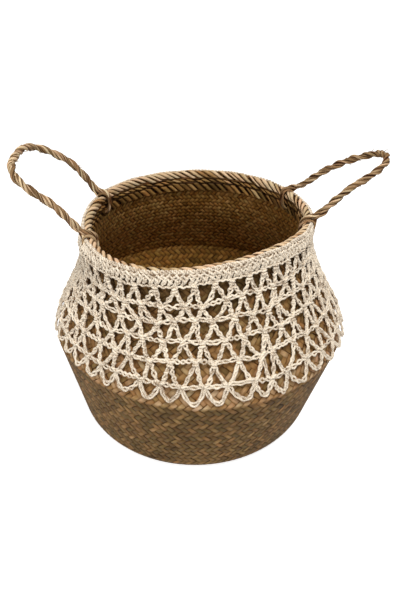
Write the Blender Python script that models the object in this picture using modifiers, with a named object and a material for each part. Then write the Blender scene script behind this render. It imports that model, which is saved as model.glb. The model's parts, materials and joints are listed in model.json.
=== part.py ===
"""A belly basket of plaited seagrass, with a crocheted cover round its upper half and two
twisted rope handles that swing on the rim.

Metres, +Z up. The origin is the middle of the round base, on the surface that the basket
stands on. The front faces -Y, and the left handle is at -X.
"""

import math

import bmesh
import bpy
from mathutils import Matrix, Vector

# Basket walls
BASE_INSET = 0.0375
FOOT_ROUNDING = 0.021
FOOT_LEAN = math.radians(12)
BELLY_RADIUS = 0.162
BELLY_HEIGHT = 0.117
BELLY_LEAN = math.radians(18)
RIM_INSET = 0.044
RIM_HEIGHT = 0.244
RIM_LEAN = math.radians(2)
WALL_THICKNESS = 0.003

# How strongly the wall's curve holds its slope at the crease and at the rim
CREASE_PULL_SHARE = 0.92
RIM_PULL_SHARE = 1.19

# The hand-made plan: (waves round the basket, share along X, share along Y)
RIM_RADIUS_WAVE_SHARES = ((2, -0.013, 0.034), (3, 0.011, 0.011))
RIM_HEIGHT_WAVE_SHARES = ((1, -0.002, 0.010), (2, -0.013, -0.021), (3, -0.013, 0.004))
BELLY_RADIUS_WAVE_SHARES = ((2, 0.003, -0.017),)
BELLY_SHIFT_SHARES = (0.015, 0.0)
RIM_SHIFT_SHARES = (0.021, -0.005)

# Folded border of the rim
BORDER_THICKNESS = 0.0022
BORDER_DEPTH = 0.020
BORDER_LIP = 0.0045

# Crocheted cover
COLLAR_HEIGHT = 0.0095
COLLAR_THICKNESS = 0.004
YARN_WIDTH = 0.0036
YARN_THICKNESS = 0.0026
SCALLOP_HEIGHT = 0.018
SCALLOP_HEM = 0.0055
NET_COLUMNS = 30
NET_ROUNDS = 5
SCALLOP_SHARES = ((0.90, 0.55), (0.68, 1.0), (0.32, 1.0), (0.10, 0.55))

# Rope handles: each is two plies twisted together
PLY_RADIUS = 0.00275
TWIST_PITCH = 0.034
STEPS_PER_TURN = 9
ROOT_STRAND_RADIUS = 0.003
ROOT_HOLE_DEPTH = 0.0155
ROOT_HOLE_SHARES = ((-1.0, 0.55), (-0.85, 0.85), (0.0, 0.50), (0.78, 0.30), (0.97, 0.10))
LEFT_ROOTS = (("front", math.radians(206)), ("back", math.radians(159)))
LEFT_REACH = 0.097
LEFT_TILT = math.radians(46)
LEFT_SKEW = -0.005
LEFT_BOW = 0.0068
LEFT_SWELL_SHARE = -0.063
LEFT_TAPER_SHARE = -0.297
LEFT_ROUNDNESS = 2.9
RIGHT_ROOTS = (("back", math.radians(30)), ("front", math.radians(-11)))
RIGHT_REACH = 0.100
RIGHT_TILT = math.radians(35.6)
RIGHT_SKEW = 0.0113
RIGHT_BOW = 0.0047
RIGHT_SWELL_SHARE = -0.129
RIGHT_TAPER_SHARE = 0.03
RIGHT_ROUNDNESS = 2.12

# Clearance between pieces that touch
PART_GAP = 0.0003

# Facets
SEGMENTS = 2 * NET_COLUMNS
CROWN_STEPS = 4
FOOT_STEPS = 3
SLOPE_STEP_SHARE = 0.001
MEASURE_STEPS = 200
ROOT_STEPS = 9
TUBE_RESOLUTION = 2
SMOOTH_ANGLE = math.radians(40)
MERGE_DISTANCE = 0.00001

UP = Vector((0, 0, 1))
BASE_RADIUS = BELLY_RADIUS - BASE_INSET
RIM_RADIUS = BELLY_RADIUS - RIM_INSET
WALL_TOP = RIM_HEIGHT - BORDER_THICKNESS - PART_GAP
UPPER_HEIGHT = WALL_TOP - BELLY_HEIGHT
FOOT_JOIN_RADIUS = BASE_RADIUS + FOOT_ROUNDING * math.cos(FOOT_LEAN)
FOOT_JOIN_HEIGHT = FOOT_ROUNDING * (1 - math.sin(FOOT_LEAN))
CROWN_RADIUS = WALL_THICKNESS / 2 + PART_GAP + BORDER_THICKNESS
CROWN_DROP = PART_GAP + BORDER_THICKNESS - CROWN_RADIUS
ROOT_BEND_RADIUS = CROWN_RADIUS + 2 * PART_GAP + ROOT_STRAND_RADIUS
COLLAR_DROP = BORDER_LIP - BORDER_THICKNESS + PART_GAP
NET_STANDOFF = BELLY_RADIUS * (1 - math.cos(math.pi / NET_COLUMNS)) + PART_GAP

# Looks: linear colour and roughness
STRAW = ((0.56, 0.36, 0.17), 0.7)
GREY_STRAW = ((0.30, 0.20, 0.09), 0.75)
ROPE_STRAW = ((0.42, 0.27, 0.12), 0.6)
CREAM_YARN = ((0.80, 0.70, 0.55), 0.9)


def wave(theta, shares):
    """The sum of the waves at this angle round the basket."""
    return sum(x * math.cos(n * theta) + y * math.sin(n * theta) for n, x, y in shares)


def outward(theta):
    return Vector((math.cos(theta), math.sin(theta), 0))


def blend_curve(share, start, start_pull, end, end_pull):
    """A cubic from start to end with these pulls, at a share of the way."""
    square = share * share
    cube = square * share
    return (
        (2 * cube - 3 * square + 1) * start
        + (cube - 2 * square + share) * start_pull
        + (3 * square - 2 * cube) * end
        + (cube - square) * end_pull
    )


def upper_curve(share, belly_radius, rim_radius, rim_height):
    """Radius and height on the upper wall's outer curve: share 0 at the crease, 1 at the rim."""
    crease_pull = CREASE_PULL_SHARE * UPPER_HEIGHT
    rim_pull = RIM_PULL_SHARE * UPPER_HEIGHT
    radius = blend_curve(
        share,
        belly_radius,
        -crease_pull * math.sin(BELLY_LEAN),
        rim_radius,
        rim_pull * math.sin(RIM_LEAN),
    )
    height = blend_curve(
        share,
        BELLY_HEIGHT,
        crease_pull * math.cos(BELLY_LEAN),
        rim_height,
        rim_pull * math.cos(RIM_LEAN),
    )
    return radius, height


def centre_shift(share):
    """How far the wall's centre wanders sideways between the crease and the rim."""
    low = Vector((*BELLY_SHIFT_SHARES, 0)) * BELLY_RADIUS
    high = Vector((*RIM_SHIFT_SHARES, 0)) * BELLY_RADIUS
    return low.lerp(high, share)


def belly_radius(theta):
    return BELLY_RADIUS * (1 + wave(theta, BELLY_RADIUS_WAVE_SHARES))


def upper_wall(theta, share):
    """A point on the outside of the upper wall."""
    radius, height = upper_curve(
        share,
        belly_radius(theta),
        RIM_RADIUS * (1 + wave(theta, RIM_RADIUS_WAVE_SHARES)),
        WALL_TOP + UPPER_HEIGHT * wave(theta, RIM_HEIGHT_WAVE_SHARES),
    )
    return centre_shift(share) + radius * outward(theta) + height * UP


def lower_wall(theta, share):
    """A point on the outside of the lower wall: share 0 at the foot, 1 at the crease."""
    foot = FOOT_JOIN_RADIUS * outward(theta) + FOOT_JOIN_HEIGHT * UP
    crease = centre_shift(0) + belly_radius(theta) * outward(theta) + BELLY_HEIGHT * UP
    return foot.lerp(crease, share)


def off_upper_wall(theta, share, distance):
    """A point at this distance outside the upper wall, square to its slope."""
    rise = upper_wall(theta, share + SLOPE_STEP_SHARE) - upper_wall(theta, share - SLOPE_STEP_SHARE)
    across = outward(theta)
    normal = rise.z * across - rise.dot(across) * UP
    return upper_wall(theta, share) + distance * normal.normalized()


def measure_upper_wall():
    """(distance below the rim, share) at even steps down the wall's mean curve."""
    table = [(0.0, 1.0)]
    before = Vector(upper_curve(1, BELLY_RADIUS, RIM_RADIUS, WALL_TOP))
    for step in range(1, MEASURE_STEPS + 1):
        share = 1 - step / MEASURE_STEPS
        here = Vector(upper_curve(share, BELLY_RADIUS, RIM_RADIUS, WALL_TOP))
        table.append((table[-1][0] + (here - before).length, share))
        before = here
    return table


UPPER_WALL_TABLE = measure_upper_wall()
UPPER_LENGTH = UPPER_WALL_TABLE[-1][0]
NET_DROP = COLLAR_DROP + COLLAR_HEIGHT + PART_GAP
SCALLOP_DROP = UPPER_LENGTH - SCALLOP_HEM - SCALLOP_HEIGHT
ROUND_HEIGHT = (SCALLOP_DROP - PART_GAP - NET_DROP) / NET_ROUNDS


def share_below_rim(drop):
    """The share on the upper wall that lies this far below the rim, along the wall."""
    for (near, near_share), (far, far_share) in zip(UPPER_WALL_TABLE, UPPER_WALL_TABLE[1:]):
        if far >= drop:
            return near_share + (far_share - near_share) * (drop - near) / (far - near)
    return 0.0


def make_material(name, look):
    colour, roughness = look
    material = bpy.data.materials.new(name)
    material.use_nodes = True
    shader = material.node_tree.nodes["Principled BSDF"]
    shader.inputs["Base Color"].default_value = (*colour, 1)
    shader.inputs["Roughness"].default_value = roughness
    shader.inputs["Metallic"].default_value = 0
    material.diffuse_color = (*colour, 1)
    return material


def add_object(name, data, collection, look=None):
    made = bpy.data.objects.new(name, data)
    collection.objects.link(made)
    if look:
        data.materials.append(make_material(f"{name}_look", look))
    return made


def add_mesh(name, mesh, collection, look):
    """An object from a bmesh, with its faces turned outward and its round sides smooth."""
    bmesh.ops.recalc_face_normals(mesh, faces=mesh.faces)
    data = bpy.data.meshes.new(name)
    mesh.to_mesh(data)
    mesh.free()
    data.shade_smooth()
    data.set_sharp_from_angle(angle=SMOOTH_ANGLE)
    return add_object(name, data, collection, look)


def add_loft(name, section, collection, look):
    """A closed ring round the basket. Its plan isn't round, so no turned profile makes it:
    section(theta) gives the cross-section's points at each angle."""
    mesh = bmesh.new()
    rows = []
    for step in range(SEGMENTS):
        points = section(math.tau * step / SEGMENTS)
        rows.append([mesh.verts.new(point) for point in points])
    for row, after in zip(rows, rows[1:] + rows[:1]):
        for index in range(len(row)):
            mesh.faces.new((row[index - 1], after[index - 1], after[index], row[index]))
    return add_mesh(name, mesh, collection, look)


def base_mat(collection):
    """The flat round bottom with its rounded foot, as a turned shell."""
    inner_radius = FOOT_ROUNDING - WALL_THICKNESS
    inner_lean = math.asin((FOOT_ROUNDING - FOOT_JOIN_HEIGHT) / inner_radius)
    profile = [(0.0, WALL_THICKNESS)]
    for radius, first, last in (
        (inner_radius, math.pi / 2, inner_lean),
        (FOOT_ROUNDING, FOOT_LEAN, math.pi / 2),
    ):
        for step in range(FOOT_STEPS + 1):
            angle = first + (last - first) * step / FOOT_STEPS
            along = BASE_RADIUS + radius * math.cos(angle)
            profile.append((along, FOOT_ROUNDING - radius * math.sin(angle)))
    profile.append((0.0, 0.0))
    mesh = bmesh.new()
    points = [mesh.verts.new((radius, 0, height)) for radius, height in profile]
    for start, end in zip(points, points[1:]):
        mesh.edges.new((start, end))
    data = bpy.data.meshes.new("base_mat")
    mesh.to_mesh(data)
    mesh.free()
    made = add_object("base_mat", data, collection, GREY_STRAW)
    screw = made.modifiers.new("turn", "SCREW")
    screw.steps = screw.render_steps = SEGMENTS
    screw.use_merge_vertices = True
    screw.merge_threshold = MERGE_DISTANCE


def lower_wall_section(theta):
    """The bowl's wall, cut level at the foot and at the crease."""
    across = outward(theta)
    shares = (0.0, 0.5, 1.0)
    outer = [lower_wall(theta, share) for share in shares]
    outer[0] = outer[0] + PART_GAP * UP
    outer[-1] = outer[-1] - PART_GAP / 2 * UP
    inner = [point - WALL_THICKNESS * across for point in reversed(outer)]
    return outer + inner


def upper_wall_levels():
    """Distances below the rim where the upper wall has a ring of points, from rim to crease."""
    lines = [NET_DROP + ROUND_HEIGHT * step for step in range(NET_ROUNDS + 1)]
    return [0.0, *lines, UPPER_LENGTH]


def upper_wall_section(theta):
    """The upper wall, cut level at the crease and under the border."""
    shares = [share_below_rim(drop) for drop in upper_wall_levels()]
    across = outward(theta)
    outer = [upper_wall(theta, share) for share in shares]
    inner = [off_upper_wall(theta, share, -WALL_THICKNESS) for share in shares]
    outer[-1] = outer[-1] + PART_GAP / 2 * UP
    inner[0] = outer[0] - WALL_THICKNESS * across
    inner[-1] = outer[-1] - WALL_THICKNESS * across
    return outer + inner[::-1]


def crown_centre(theta):
    """The middle of the rim's rounded top edge."""
    return upper_wall(theta, 1) - WALL_THICKNESS / 2 * outward(theta) + CROWN_DROP * UP


def rim_border_section(theta):
    """The folded border: a short lip outside, a round crown and a deep band inside."""
    across = outward(theta)
    middle = crown_centre(theta)
    groove = WALL_THICKNESS + PART_GAP
    lip = share_below_rim(BORDER_LIP - BORDER_THICKNESS)
    down = [share_below_rim(BORDER_DEPTH * step / 2) for step in (1, 2)]
    crown = []
    for step in range(CROWN_STEPS + 1):
        angle = math.pi * step / CROWN_STEPS
        crown.append(middle + CROWN_RADIUS * (math.cos(angle) * across + math.sin(angle) * UP))
    inner_face = [off_upper_wall(theta, share, -groove - BORDER_THICKNESS) for share in down]
    groove_face = [off_upper_wall(theta, share, -groove) for share in reversed(down)]
    top = upper_wall(theta, 1) + PART_GAP * UP
    groove_top = [top - groove * across, top + PART_GAP * across]
    lip_end = [
        off_upper_wall(theta, lip, PART_GAP),
        off_upper_wall(theta, lip, PART_GAP + BORDER_THICKNESS),
    ]
    return crown + inner_face + groove_face + groove_top + lip_end


def collar_section(theta):
    """The dense crochet band, a flattened round against the wall."""
    outline_shares = ((0.0, 0.0), (0.0, 1.0), (0.75, 0.85), (1.0, 0.5), (0.75, 0.15))
    points = []
    for out_share, down_share in outline_shares:
        share = share_below_rim(COLLAR_DROP + COLLAR_HEIGHT * down_share)
        points.append(off_upper_wall(theta, share, PART_GAP + COLLAR_THICKNESS * out_share))
    return points


def net_point(column, drop):
    """A point on the net's inner side, at a column and a distance below the rim."""
    theta = math.tau * column / NET_COLUMNS
    return off_upper_wall(theta, share_below_rim(drop), NET_STANDOFF)


def add_net(name, mesh, gaps, collection):
    """Opens each face of the lattice to strands, and gives the strands their thickness."""
    bmesh.ops.recalc_face_normals(mesh, faces=mesh.faces)
    bmesh.ops.inset_individual(mesh, faces=gaps, thickness=YARN_WIDTH / 2, use_even_offset=True)
    bmesh.ops.delete(mesh, geom=gaps, context="FACES")
    made = add_mesh(name, mesh, collection, CREAM_YARN)
    solidify = made.modifiers.new("yarn thickness", "SOLIDIFY")
    solidify.thickness = YARN_THICKNESS
    solidify.offset = 1


def crochet_net(collection):
    """The open trellis: every round is a ring of upright and hanging triangles, and each
    round's columns stand half a column along from those above."""
    mesh = bmesh.new()
    rings = []
    for line in range(NET_ROUNDS + 1):
        drop = NET_DROP + ROUND_HEIGHT * line
        half = (line % 2) / 2
        rings.append([mesh.verts.new(net_point(c + half, drop)) for c in range(NET_COLUMNS)])
    gaps = []
    for line, (ring, below) in enumerate(zip(rings, rings[1:])):
        along = line % 2
        for column in range(NET_COLUMNS):
            after = (column + 1) % NET_COLUMNS
            left = below[column if along else column - 1]
            right = below[after if along else column]
            gaps.append(mesh.faces.new((ring[column], left, right)))
            gaps.append(mesh.faces.new((ring[column], right, ring[after])))
    add_net("crochet_net", mesh, gaps, collection)


def crochet_scallops(collection):
    """The last round: a band of chain stitches with a row of hanging loops."""
    mesh = bmesh.new()
    half = (NET_ROUNDS % 2) / 2
    band_drop = SCALLOP_DROP + YARN_WIDTH / 2
    loop_height = SCALLOP_HEIGHT - YARN_WIDTH / 2
    top = [mesh.verts.new(net_point(c + half, SCALLOP_DROP)) for c in range(NET_COLUMNS)]
    band = [mesh.verts.new(net_point(c + half, band_drop)) for c in range(NET_COLUMNS)]
    gaps = []
    for column in range(NET_COLUMNS):
        after = (column + 1) % NET_COLUMNS
        mesh.faces.new((top[column], band[column], band[after], top[after]))
        loop = [band[after]]
        for along_share, down_share in SCALLOP_SHARES:
            point = net_point(column + half + along_share, band_drop + loop_height * down_share)
            loop.append(mesh.verts.new(point))
        loop.append(band[column])
        gaps.append(mesh.faces.new(loop))
    add_net("crochet_scallops", mesh, gaps, collection)


def hinge_frame(azimuths):
    """(matrix, half span) of the hinge line through a handle's two roots. The matrix's X, Y
    and Z run along the line, outwards and upwards."""
    first, second = (crown_centre(azimuth) for azimuth in azimuths)
    axis = (second - first).normalized()
    out = UP.cross(axis).normalized()
    matrix = Matrix((axis, out, axis.cross(out))).transposed().to_4x4()
    matrix.translation = (first + second) / 2
    return matrix, (second - first).length / 2


def tube_curve(name, points, radius, cyclic):
    curve = bpy.data.curves.new(name, "CURVE")
    curve.dimensions = "3D"
    curve.bevel_depth = radius
    curve.bevel_resolution = TUBE_RESOLUTION
    curve.use_fill_caps = not cyclic
    spline = curve.splines.new("POLY")
    spline.points.add(len(points) - 1)
    for spot, point in zip(spline.points, points):
        spot.co = (*point, 1)
    spline.use_cyclic_u = cyclic
    spline.use_smooth = True
    return curve


def root_path():
    """The strand that goes over the rim, down outside it, through the wall and up inside."""
    bend = ROOT_BEND_RADIUS
    path = []
    for step in range(ROOT_STEPS):
        angle = math.pi * step / (ROOT_STEPS - 1)
        path.append(Vector((0, bend * math.cos(angle), bend * math.sin(angle))))
    for out_share, down_share in ROOT_HOLE_SHARES:
        path.append(Vector((0, bend * out_share, -ROOT_HOLE_DEPTH * down_share)))
    return path


def add_root(name, matrix, parts, cutters):
    """One root strand, and the wider passage that it leaves in the rim, wall and collar."""
    curve = tube_curve(name, root_path(), ROOT_STRAND_RADIUS, True)
    strand = add_object(name, curve, parts, STRAW)
    strand.matrix_world = matrix
    passage_radius = ROOT_STRAND_RADIUS + PART_GAP
    guide = add_object("guide", tube_curve("guide", root_path(), passage_radius, True), cutters)
    guide.matrix_world = matrix
    bpy.context.view_layer.update()
    evaluated = guide.evaluated_get(bpy.context.evaluated_depsgraph_get())
    passage = add_object(f"{name}_passage", bpy.data.meshes.new_from_object(evaluated), cutters)
    passage.matrix_world = matrix
    passage.hide_render = True
    passage.display_type = "WIRE"
    bpy.data.objects.remove(guide)
    return strand


def loop_path(half_span, reach, skew, bow, swell_share, taper_share, roundness, start):
    """Points on a handle's middle line, from one root to the other. The line lies along the
    handle's plane and bows up out of it between its ends."""
    first = math.asin((start / reach) ** (roundness / 2))
    dense = []
    for step in range(MEASURE_STEPS + 1):
        angle = first + (math.pi - 2 * first) * step / MEASURE_STEPS
        along = abs(math.cos(angle)) ** (2 / roundness)
        rise = math.sin(angle) ** (2 / roundness)
        width = 1 + swell_share * math.sin(math.pi * rise) - taper_share * rise
        across = math.copysign(half_span * along * width, step - MEASURE_STEPS / 2)
        lift = bow * math.sin(math.pi * rise) ** 2
        dense.append(Vector((across + skew * rise, reach * rise, lift)))
    return even_points(dense)


def even_points(dense):
    """The same line with points at even steps, a whole number of them to each rope turn."""
    lengths = [0.0]
    for before, here in zip(dense, dense[1:]):
        lengths.append(lengths[-1] + (here - before).length)
    count = math.ceil(lengths[-1] / TWIST_PITCH * STEPS_PER_TURN)
    even = []
    index = 0
    for step in range(count + 1):
        target = lengths[-1] * step / count
        while index < len(dense) - 2 and lengths[index + 1] < target:
            index += 1
        share = (target - lengths[index]) / (lengths[index + 1] - lengths[index])
        even.append(dense[index].lerp(dense[index + 1], share))
    return even


def twist(path, phase):
    """A ply's middle line: it winds round the rope's line, touching the ply opposite."""
    winding = (PLY_RADIUS + PART_GAP / 2) / math.cos(math.pi / STEPS_PER_TURN)
    ply = []
    for index, point in enumerate(path):
        before = path[max(index - 1, 0)]
        after = path[min(index + 1, len(path) - 1)]
        ahead = (after - before).normalized()
        side = UP.cross(ahead).normalized()
        angle = phase + math.tau * index / STEPS_PER_TURN
        ply.append(point + winding * (math.cos(angle) * side + math.sin(angle) * ahead.cross(side)))
    return ply


def add_handle(side, roots, reach, tilt, shape, parts, cutters, neck):
    """One rope handle: a tilted hinge frame that carries its two plies, and its two roots."""
    frame, half_span = hinge_frame([azimuth for place, azimuth in roots])
    hinge = add_object(f"{side}_handle_hinge", None, parts)
    hinge.matrix_world = frame @ Matrix.Rotation(tilt, 4, "X")
    ply_slope = math.atan(math.tau * PLY_RADIUS / TWIST_PITCH)
    end_clearance = PART_GAP + PLY_RADIUS * math.sin(ply_slope) / 2
    start = ROOT_BEND_RADIUS + ROOT_STRAND_RADIUS + end_clearance
    path = loop_path(half_span, reach, *shape, start)
    for number, phase in (("one", 0), ("two", math.pi)):
        name = f"{side}_handle_ply_{number}"
        curve = tube_curve(name, twist(path, phase), PLY_RADIUS, False)
        ply = add_object(name, curve, parts, ROPE_STRAW)
        ply.parent = hinge
    for (place, azimuth), sign in zip(roots, (-1, 1)):
        name = f"{side}_handle_root_{place}"
        matrix = frame @ Matrix.Translation((sign * half_span, 0, 0))
        root = add_root(name, matrix, parts, cutters)
        hang(root, neck)
    hang(hinge, neck)


def hang(piece, carrier):
    """Parents a piece where it is."""
    piece.parent = carrier
    piece.matrix_parent_inverse = carrier.matrix_world.inverted()


def cut_passages(piece, cutters):
    """Cuts the strands' passages and joins the corners that fall almost on each other."""
    cut = piece.modifiers.new("strand passages", "BOOLEAN")
    cut.operation = "DIFFERENCE"
    cut.operand_type = "COLLECTION"
    cut.collection = cutters
    cut.solver = "EXACT"
    weld = piece.modifiers.new("close corners", "WELD")
    weld.merge_threshold = MERGE_DISTANCE


def clear_scene():
    for found in list(bpy.data.objects):
        bpy.data.objects.remove(found)


def new_collection(name):
    made = bpy.data.collections.new(name)
    bpy.context.scene.collection.children.link(made)
    return made


def build():
    clear_scene()
    parts = new_collection("belly_basket")
    cutters = new_collection("cutters")
    neck = add_object("neck_slide", None, parts)
    neck.location = RIM_HEIGHT * UP
    bpy.context.view_layer.update()
    base_mat(parts)
    add_loft("lower_wall", lower_wall_section, parts, GREY_STRAW)
    wall = add_loft("upper_wall", upper_wall_section, parts, STRAW)
    border = add_loft("rim_border", rim_border_section, parts, STRAW)
    collar = add_loft("crochet_collar", collar_section, parts, CREAM_YARN)
    crochet_net(parts)
    crochet_scallops(parts)
    left_shape = (LEFT_SKEW, LEFT_BOW, LEFT_SWELL_SHARE, LEFT_TAPER_SHARE, LEFT_ROUNDNESS)
    right_shape = (RIGHT_SKEW, RIGHT_BOW, RIGHT_SWELL_SHARE, RIGHT_TAPER_SHARE, RIGHT_ROUNDNESS)
    for side, roots, reach, tilt, shape in (
        ("left", LEFT_ROOTS, LEFT_REACH, LEFT_TILT, left_shape),
        ("right", RIGHT_ROOTS, RIGHT_REACH, RIGHT_TILT, right_shape),
    ):
        add_handle(side, roots, reach, tilt, shape, parts, cutters, neck)
    for piece in (wall, border, collar):
        cut_passages(piece, cutters)
    hang(border, neck)
    hang(collar, neck)


build()
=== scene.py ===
# %% [markdown]
# # A belly basket of plaited seagrass
#
# The real basket is one sheet of flat seagrass strips, plaited on the slant, folded inward at
# the belly and turned over at the rim. A crocheted cover of cream cotton yarn is stitched to
# the rim, and two short ropes make the handles. This lesson builds each of these as real
# strips, stitches and plies, because a flat picture of a weave has no edges and no shadows.

import json
import math
from typing import NamedTuple

import bpy
import numpy as np
from mathutils import Matrix, Vector


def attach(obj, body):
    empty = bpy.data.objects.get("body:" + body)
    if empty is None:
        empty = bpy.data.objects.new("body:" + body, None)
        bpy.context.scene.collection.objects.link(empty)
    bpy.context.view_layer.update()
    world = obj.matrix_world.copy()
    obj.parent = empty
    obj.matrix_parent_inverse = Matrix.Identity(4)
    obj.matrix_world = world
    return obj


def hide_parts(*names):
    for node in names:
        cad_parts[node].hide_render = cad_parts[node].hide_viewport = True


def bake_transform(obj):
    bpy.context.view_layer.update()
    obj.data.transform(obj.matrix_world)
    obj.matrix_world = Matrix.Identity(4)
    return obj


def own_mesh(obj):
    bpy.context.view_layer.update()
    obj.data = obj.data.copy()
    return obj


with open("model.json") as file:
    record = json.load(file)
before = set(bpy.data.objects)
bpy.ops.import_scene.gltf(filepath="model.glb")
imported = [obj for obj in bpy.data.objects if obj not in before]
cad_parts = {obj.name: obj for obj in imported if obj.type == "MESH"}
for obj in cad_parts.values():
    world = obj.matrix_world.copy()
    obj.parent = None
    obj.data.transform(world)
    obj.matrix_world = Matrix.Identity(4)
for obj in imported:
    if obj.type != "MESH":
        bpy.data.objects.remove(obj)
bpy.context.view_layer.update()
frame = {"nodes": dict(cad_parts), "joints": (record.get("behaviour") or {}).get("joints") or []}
dice = np.random.default_rng(7)
print("solids in the frame:", len(frame["nodes"]))

# %% [markdown]
# ## Camera
#
# The photographer stood close and looked down into the mouth. A fairly wide lens, held less
# than half a metre in front of the basket's middle, gives the same strong taper from mouth
# to base.

# %% Camera
CAMERA_PLACE = (0.0, -0.4671, 0.4464)
CAMERA_PITCH = math.radians(34.24)
CAMERA_YAW = math.radians(-0.72)
PHOTO_WIDTH = 401
PHOTO_HEIGHT = 601
FOCAL_PIXELS = 474.9
SENSOR = 36.0

camera_data = bpy.data.cameras.new("camera")
camera_data.sensor_width = SENSOR
camera_data.lens = FOCAL_PIXELS / max(PHOTO_WIDTH, PHOTO_HEIGHT) * SENSOR
camera_data.clip_start = 0.01
camera = bpy.data.objects.new("camera", camera_data)
camera.location = CAMERA_PLACE
camera.rotation_euler = (math.pi / 2 - CAMERA_PITCH, 0, CAMERA_YAW)
bpy.context.scene.collection.objects.link(camera)
bpy.context.scene.camera = camera
print(f"lens {camera_data.lens:.1f} mm")

# %% [markdown]
# ## The basket's shape
#
# A hand-made basket is never quite round. The mean wall is a straight bowl below the belly
# crease and a smooth curve above it. A few slow waves push its radius and its rim in and out,
# and two bulges fill the sides of the belly. Every strip and stitch below is laid on this one
# surface, so they all agree.

# %% Sizes of the walls, in metres
BASE_RADIUS = 0.1245
FOOT_ROUNDING = 0.021
FOOT_LEAN = math.radians(12)
BELLY_RADIUS = 0.162
BELLY_HEIGHT = 0.117
BELLY_LEAN = math.radians(18)
RIM_RADIUS = 0.118
RIM_HEIGHT = 0.244
RIM_LEAN = math.radians(2)
WALL_THICKNESS = 0.003
BORDER_THICKNESS = 0.0022
BORDER_DEPTH = 0.020
BORDER_LIP = 0.0045
PART_GAP = 0.0003
CREASE_PULL_SHARE = 0.92
RIM_PULL_SHARE = 1.19
RIM_RADIUS_WAVES = ((2, -0.013, 0.034), (3, 0.011, 0.011))
RIM_HEIGHT_WAVES = ((1, -0.002, 0.010), (2, -0.013, -0.021), (3, -0.013, 0.004))
BELLY_RADIUS_WAVES = ((2, 0.003, -0.017),)
BELLY_BULGES = ((202, 16, 0.003), (338, 16, 0.003))
BELLY_SHIFT = np.array((0.015, 0.0, 0.0)) * BELLY_RADIUS
RIM_SHIFT = np.array((0.021, -0.005, 0.0)) * BELLY_RADIUS

WALL_TOP = RIM_HEIGHT - BORDER_THICKNESS - PART_GAP
UPPER_HEIGHT = WALL_TOP - BELLY_HEIGHT
FOOT_RADIUS = BASE_RADIUS + FOOT_ROUNDING * math.cos(FOOT_LEAN)
FOOT_HEIGHT = FOOT_ROUNDING * (1 - math.sin(FOOT_LEAN))
FOOT_LENGTH = FOOT_ROUNDING * (math.pi / 2 - FOOT_LEAN)
LOWER_LENGTH = math.hypot(BELLY_RADIUS - FOOT_RADIUS, BELLY_HEIGHT - FOOT_HEIGHT)
CREASE_CLIMB = FOOT_LENGTH + LOWER_LENGTH
CURVE_POINTS = 201
UP = np.array((0.0, 0.0, 1.0))
TURN = 2 * math.pi


# %% Points on the walls
def waves(theta, shares):
    """Slow waves round the basket. Each share is how often it turns, and its two sizes."""
    return sum(x * np.cos(n * theta) + y * np.sin(n * theta) for n, x, y in shares)


def outward(theta):
    """The level direction away from the middle, at an angle round the basket."""
    theta = np.asarray(theta, float)
    return np.stack([np.cos(theta), np.sin(theta), np.zeros_like(theta)], -1)


def near(theta, degrees, width):
    """1 at a place round the basket, fading to 0 on both sides. Place and width in degrees."""
    apart = np.angle(np.exp(1j * (theta - math.radians(degrees))))
    return np.exp(-((apart / math.radians(width)) ** 2))


def belly_radius(theta):
    """The bowl's radius at the crease."""
    bulge = sum(far * near(theta, place, width) for place, width, far in BELLY_BULGES)
    return BELLY_RADIUS * (1 + waves(theta, BELLY_RADIUS_WAVES)) + bulge


# %% The upper wall's curve
def pull_between(share, start, start_pull, end, end_pull):
    """A cubic from start to end, with its slope at each end."""
    square = share * share
    cube = square * share
    return (
        (2 * cube - 3 * square + 1) * start
        + (cube - 2 * square + share) * start_pull
        + (3 * square - 2 * cube) * end
        + (cube - square) * end_pull
    )


def mean_curve(share, belly, rim, top):
    """Radius and height of the upper wall: share 0 at the crease, 1 at the rim."""
    low_pull = CREASE_PULL_SHARE * UPPER_HEIGHT
    high_pull = RIM_PULL_SHARE * UPPER_HEIGHT
    radius = pull_between(
        share, belly, -low_pull * math.sin(BELLY_LEAN), rim, high_pull * math.sin(RIM_LEAN)
    )
    height = pull_between(
        share, BELLY_HEIGHT, low_pull * math.cos(BELLY_LEAN), top, high_pull * math.cos(RIM_LEAN)
    )
    return radius, height


share_steps = np.linspace(1, 0, CURVE_POINTS)
mean_radius, mean_height = mean_curve(share_steps, BELLY_RADIUS, RIM_RADIUS, WALL_TOP)
drop_steps = np.concatenate(
    [[0.0], np.cumsum(np.hypot(np.diff(mean_radius), np.diff(mean_height)))]
)
UPPER_LENGTH = drop_steps[-1]
WALL_LENGTH = CREASE_CLIMB + UPPER_LENGTH


# %% A point anywhere on the wall
def upper_point(theta, drop):
    """A point on the upper wall's outside, this far below the rim along the wall."""
    share = np.interp(drop, drop_steps, share_steps)
    share = share - np.minimum(drop, 0) / UPPER_HEIGHT
    radius, height = mean_curve(
        share,
        belly_radius(theta),
        RIM_RADIUS * (1 + waves(theta, RIM_RADIUS_WAVES)),
        WALL_TOP + UPPER_HEIGHT * waves(theta, RIM_HEIGHT_WAVES),
    )
    shift = BELLY_SHIFT + np.asarray(share)[..., None] * (RIM_SHIFT - BELLY_SHIFT)
    return shift + radius[..., None] * outward(theta) + height[..., None] * UP


def lower_point(theta, climb):
    """A point on the bowl's outside, this far up from the edge of the flat base."""
    angle = np.clip(climb / FOOT_ROUNDING, 0, math.pi / 2 - FOOT_LEAN)
    foot_radius = BASE_RADIUS + FOOT_ROUNDING * np.sin(angle)
    foot_height = FOOT_ROUNDING * (1 - np.cos(angle))
    share = np.clip((climb - FOOT_LENGTH) / LOWER_LENGTH, 0, 1)[..., None]
    foot = foot_radius[..., None] * outward(theta) + foot_height[..., None] * UP
    crease = BELLY_SHIFT + belly_radius(theta)[..., None] * outward(theta) + BELLY_HEIGHT * UP
    return foot + share * (crease - foot)


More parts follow.
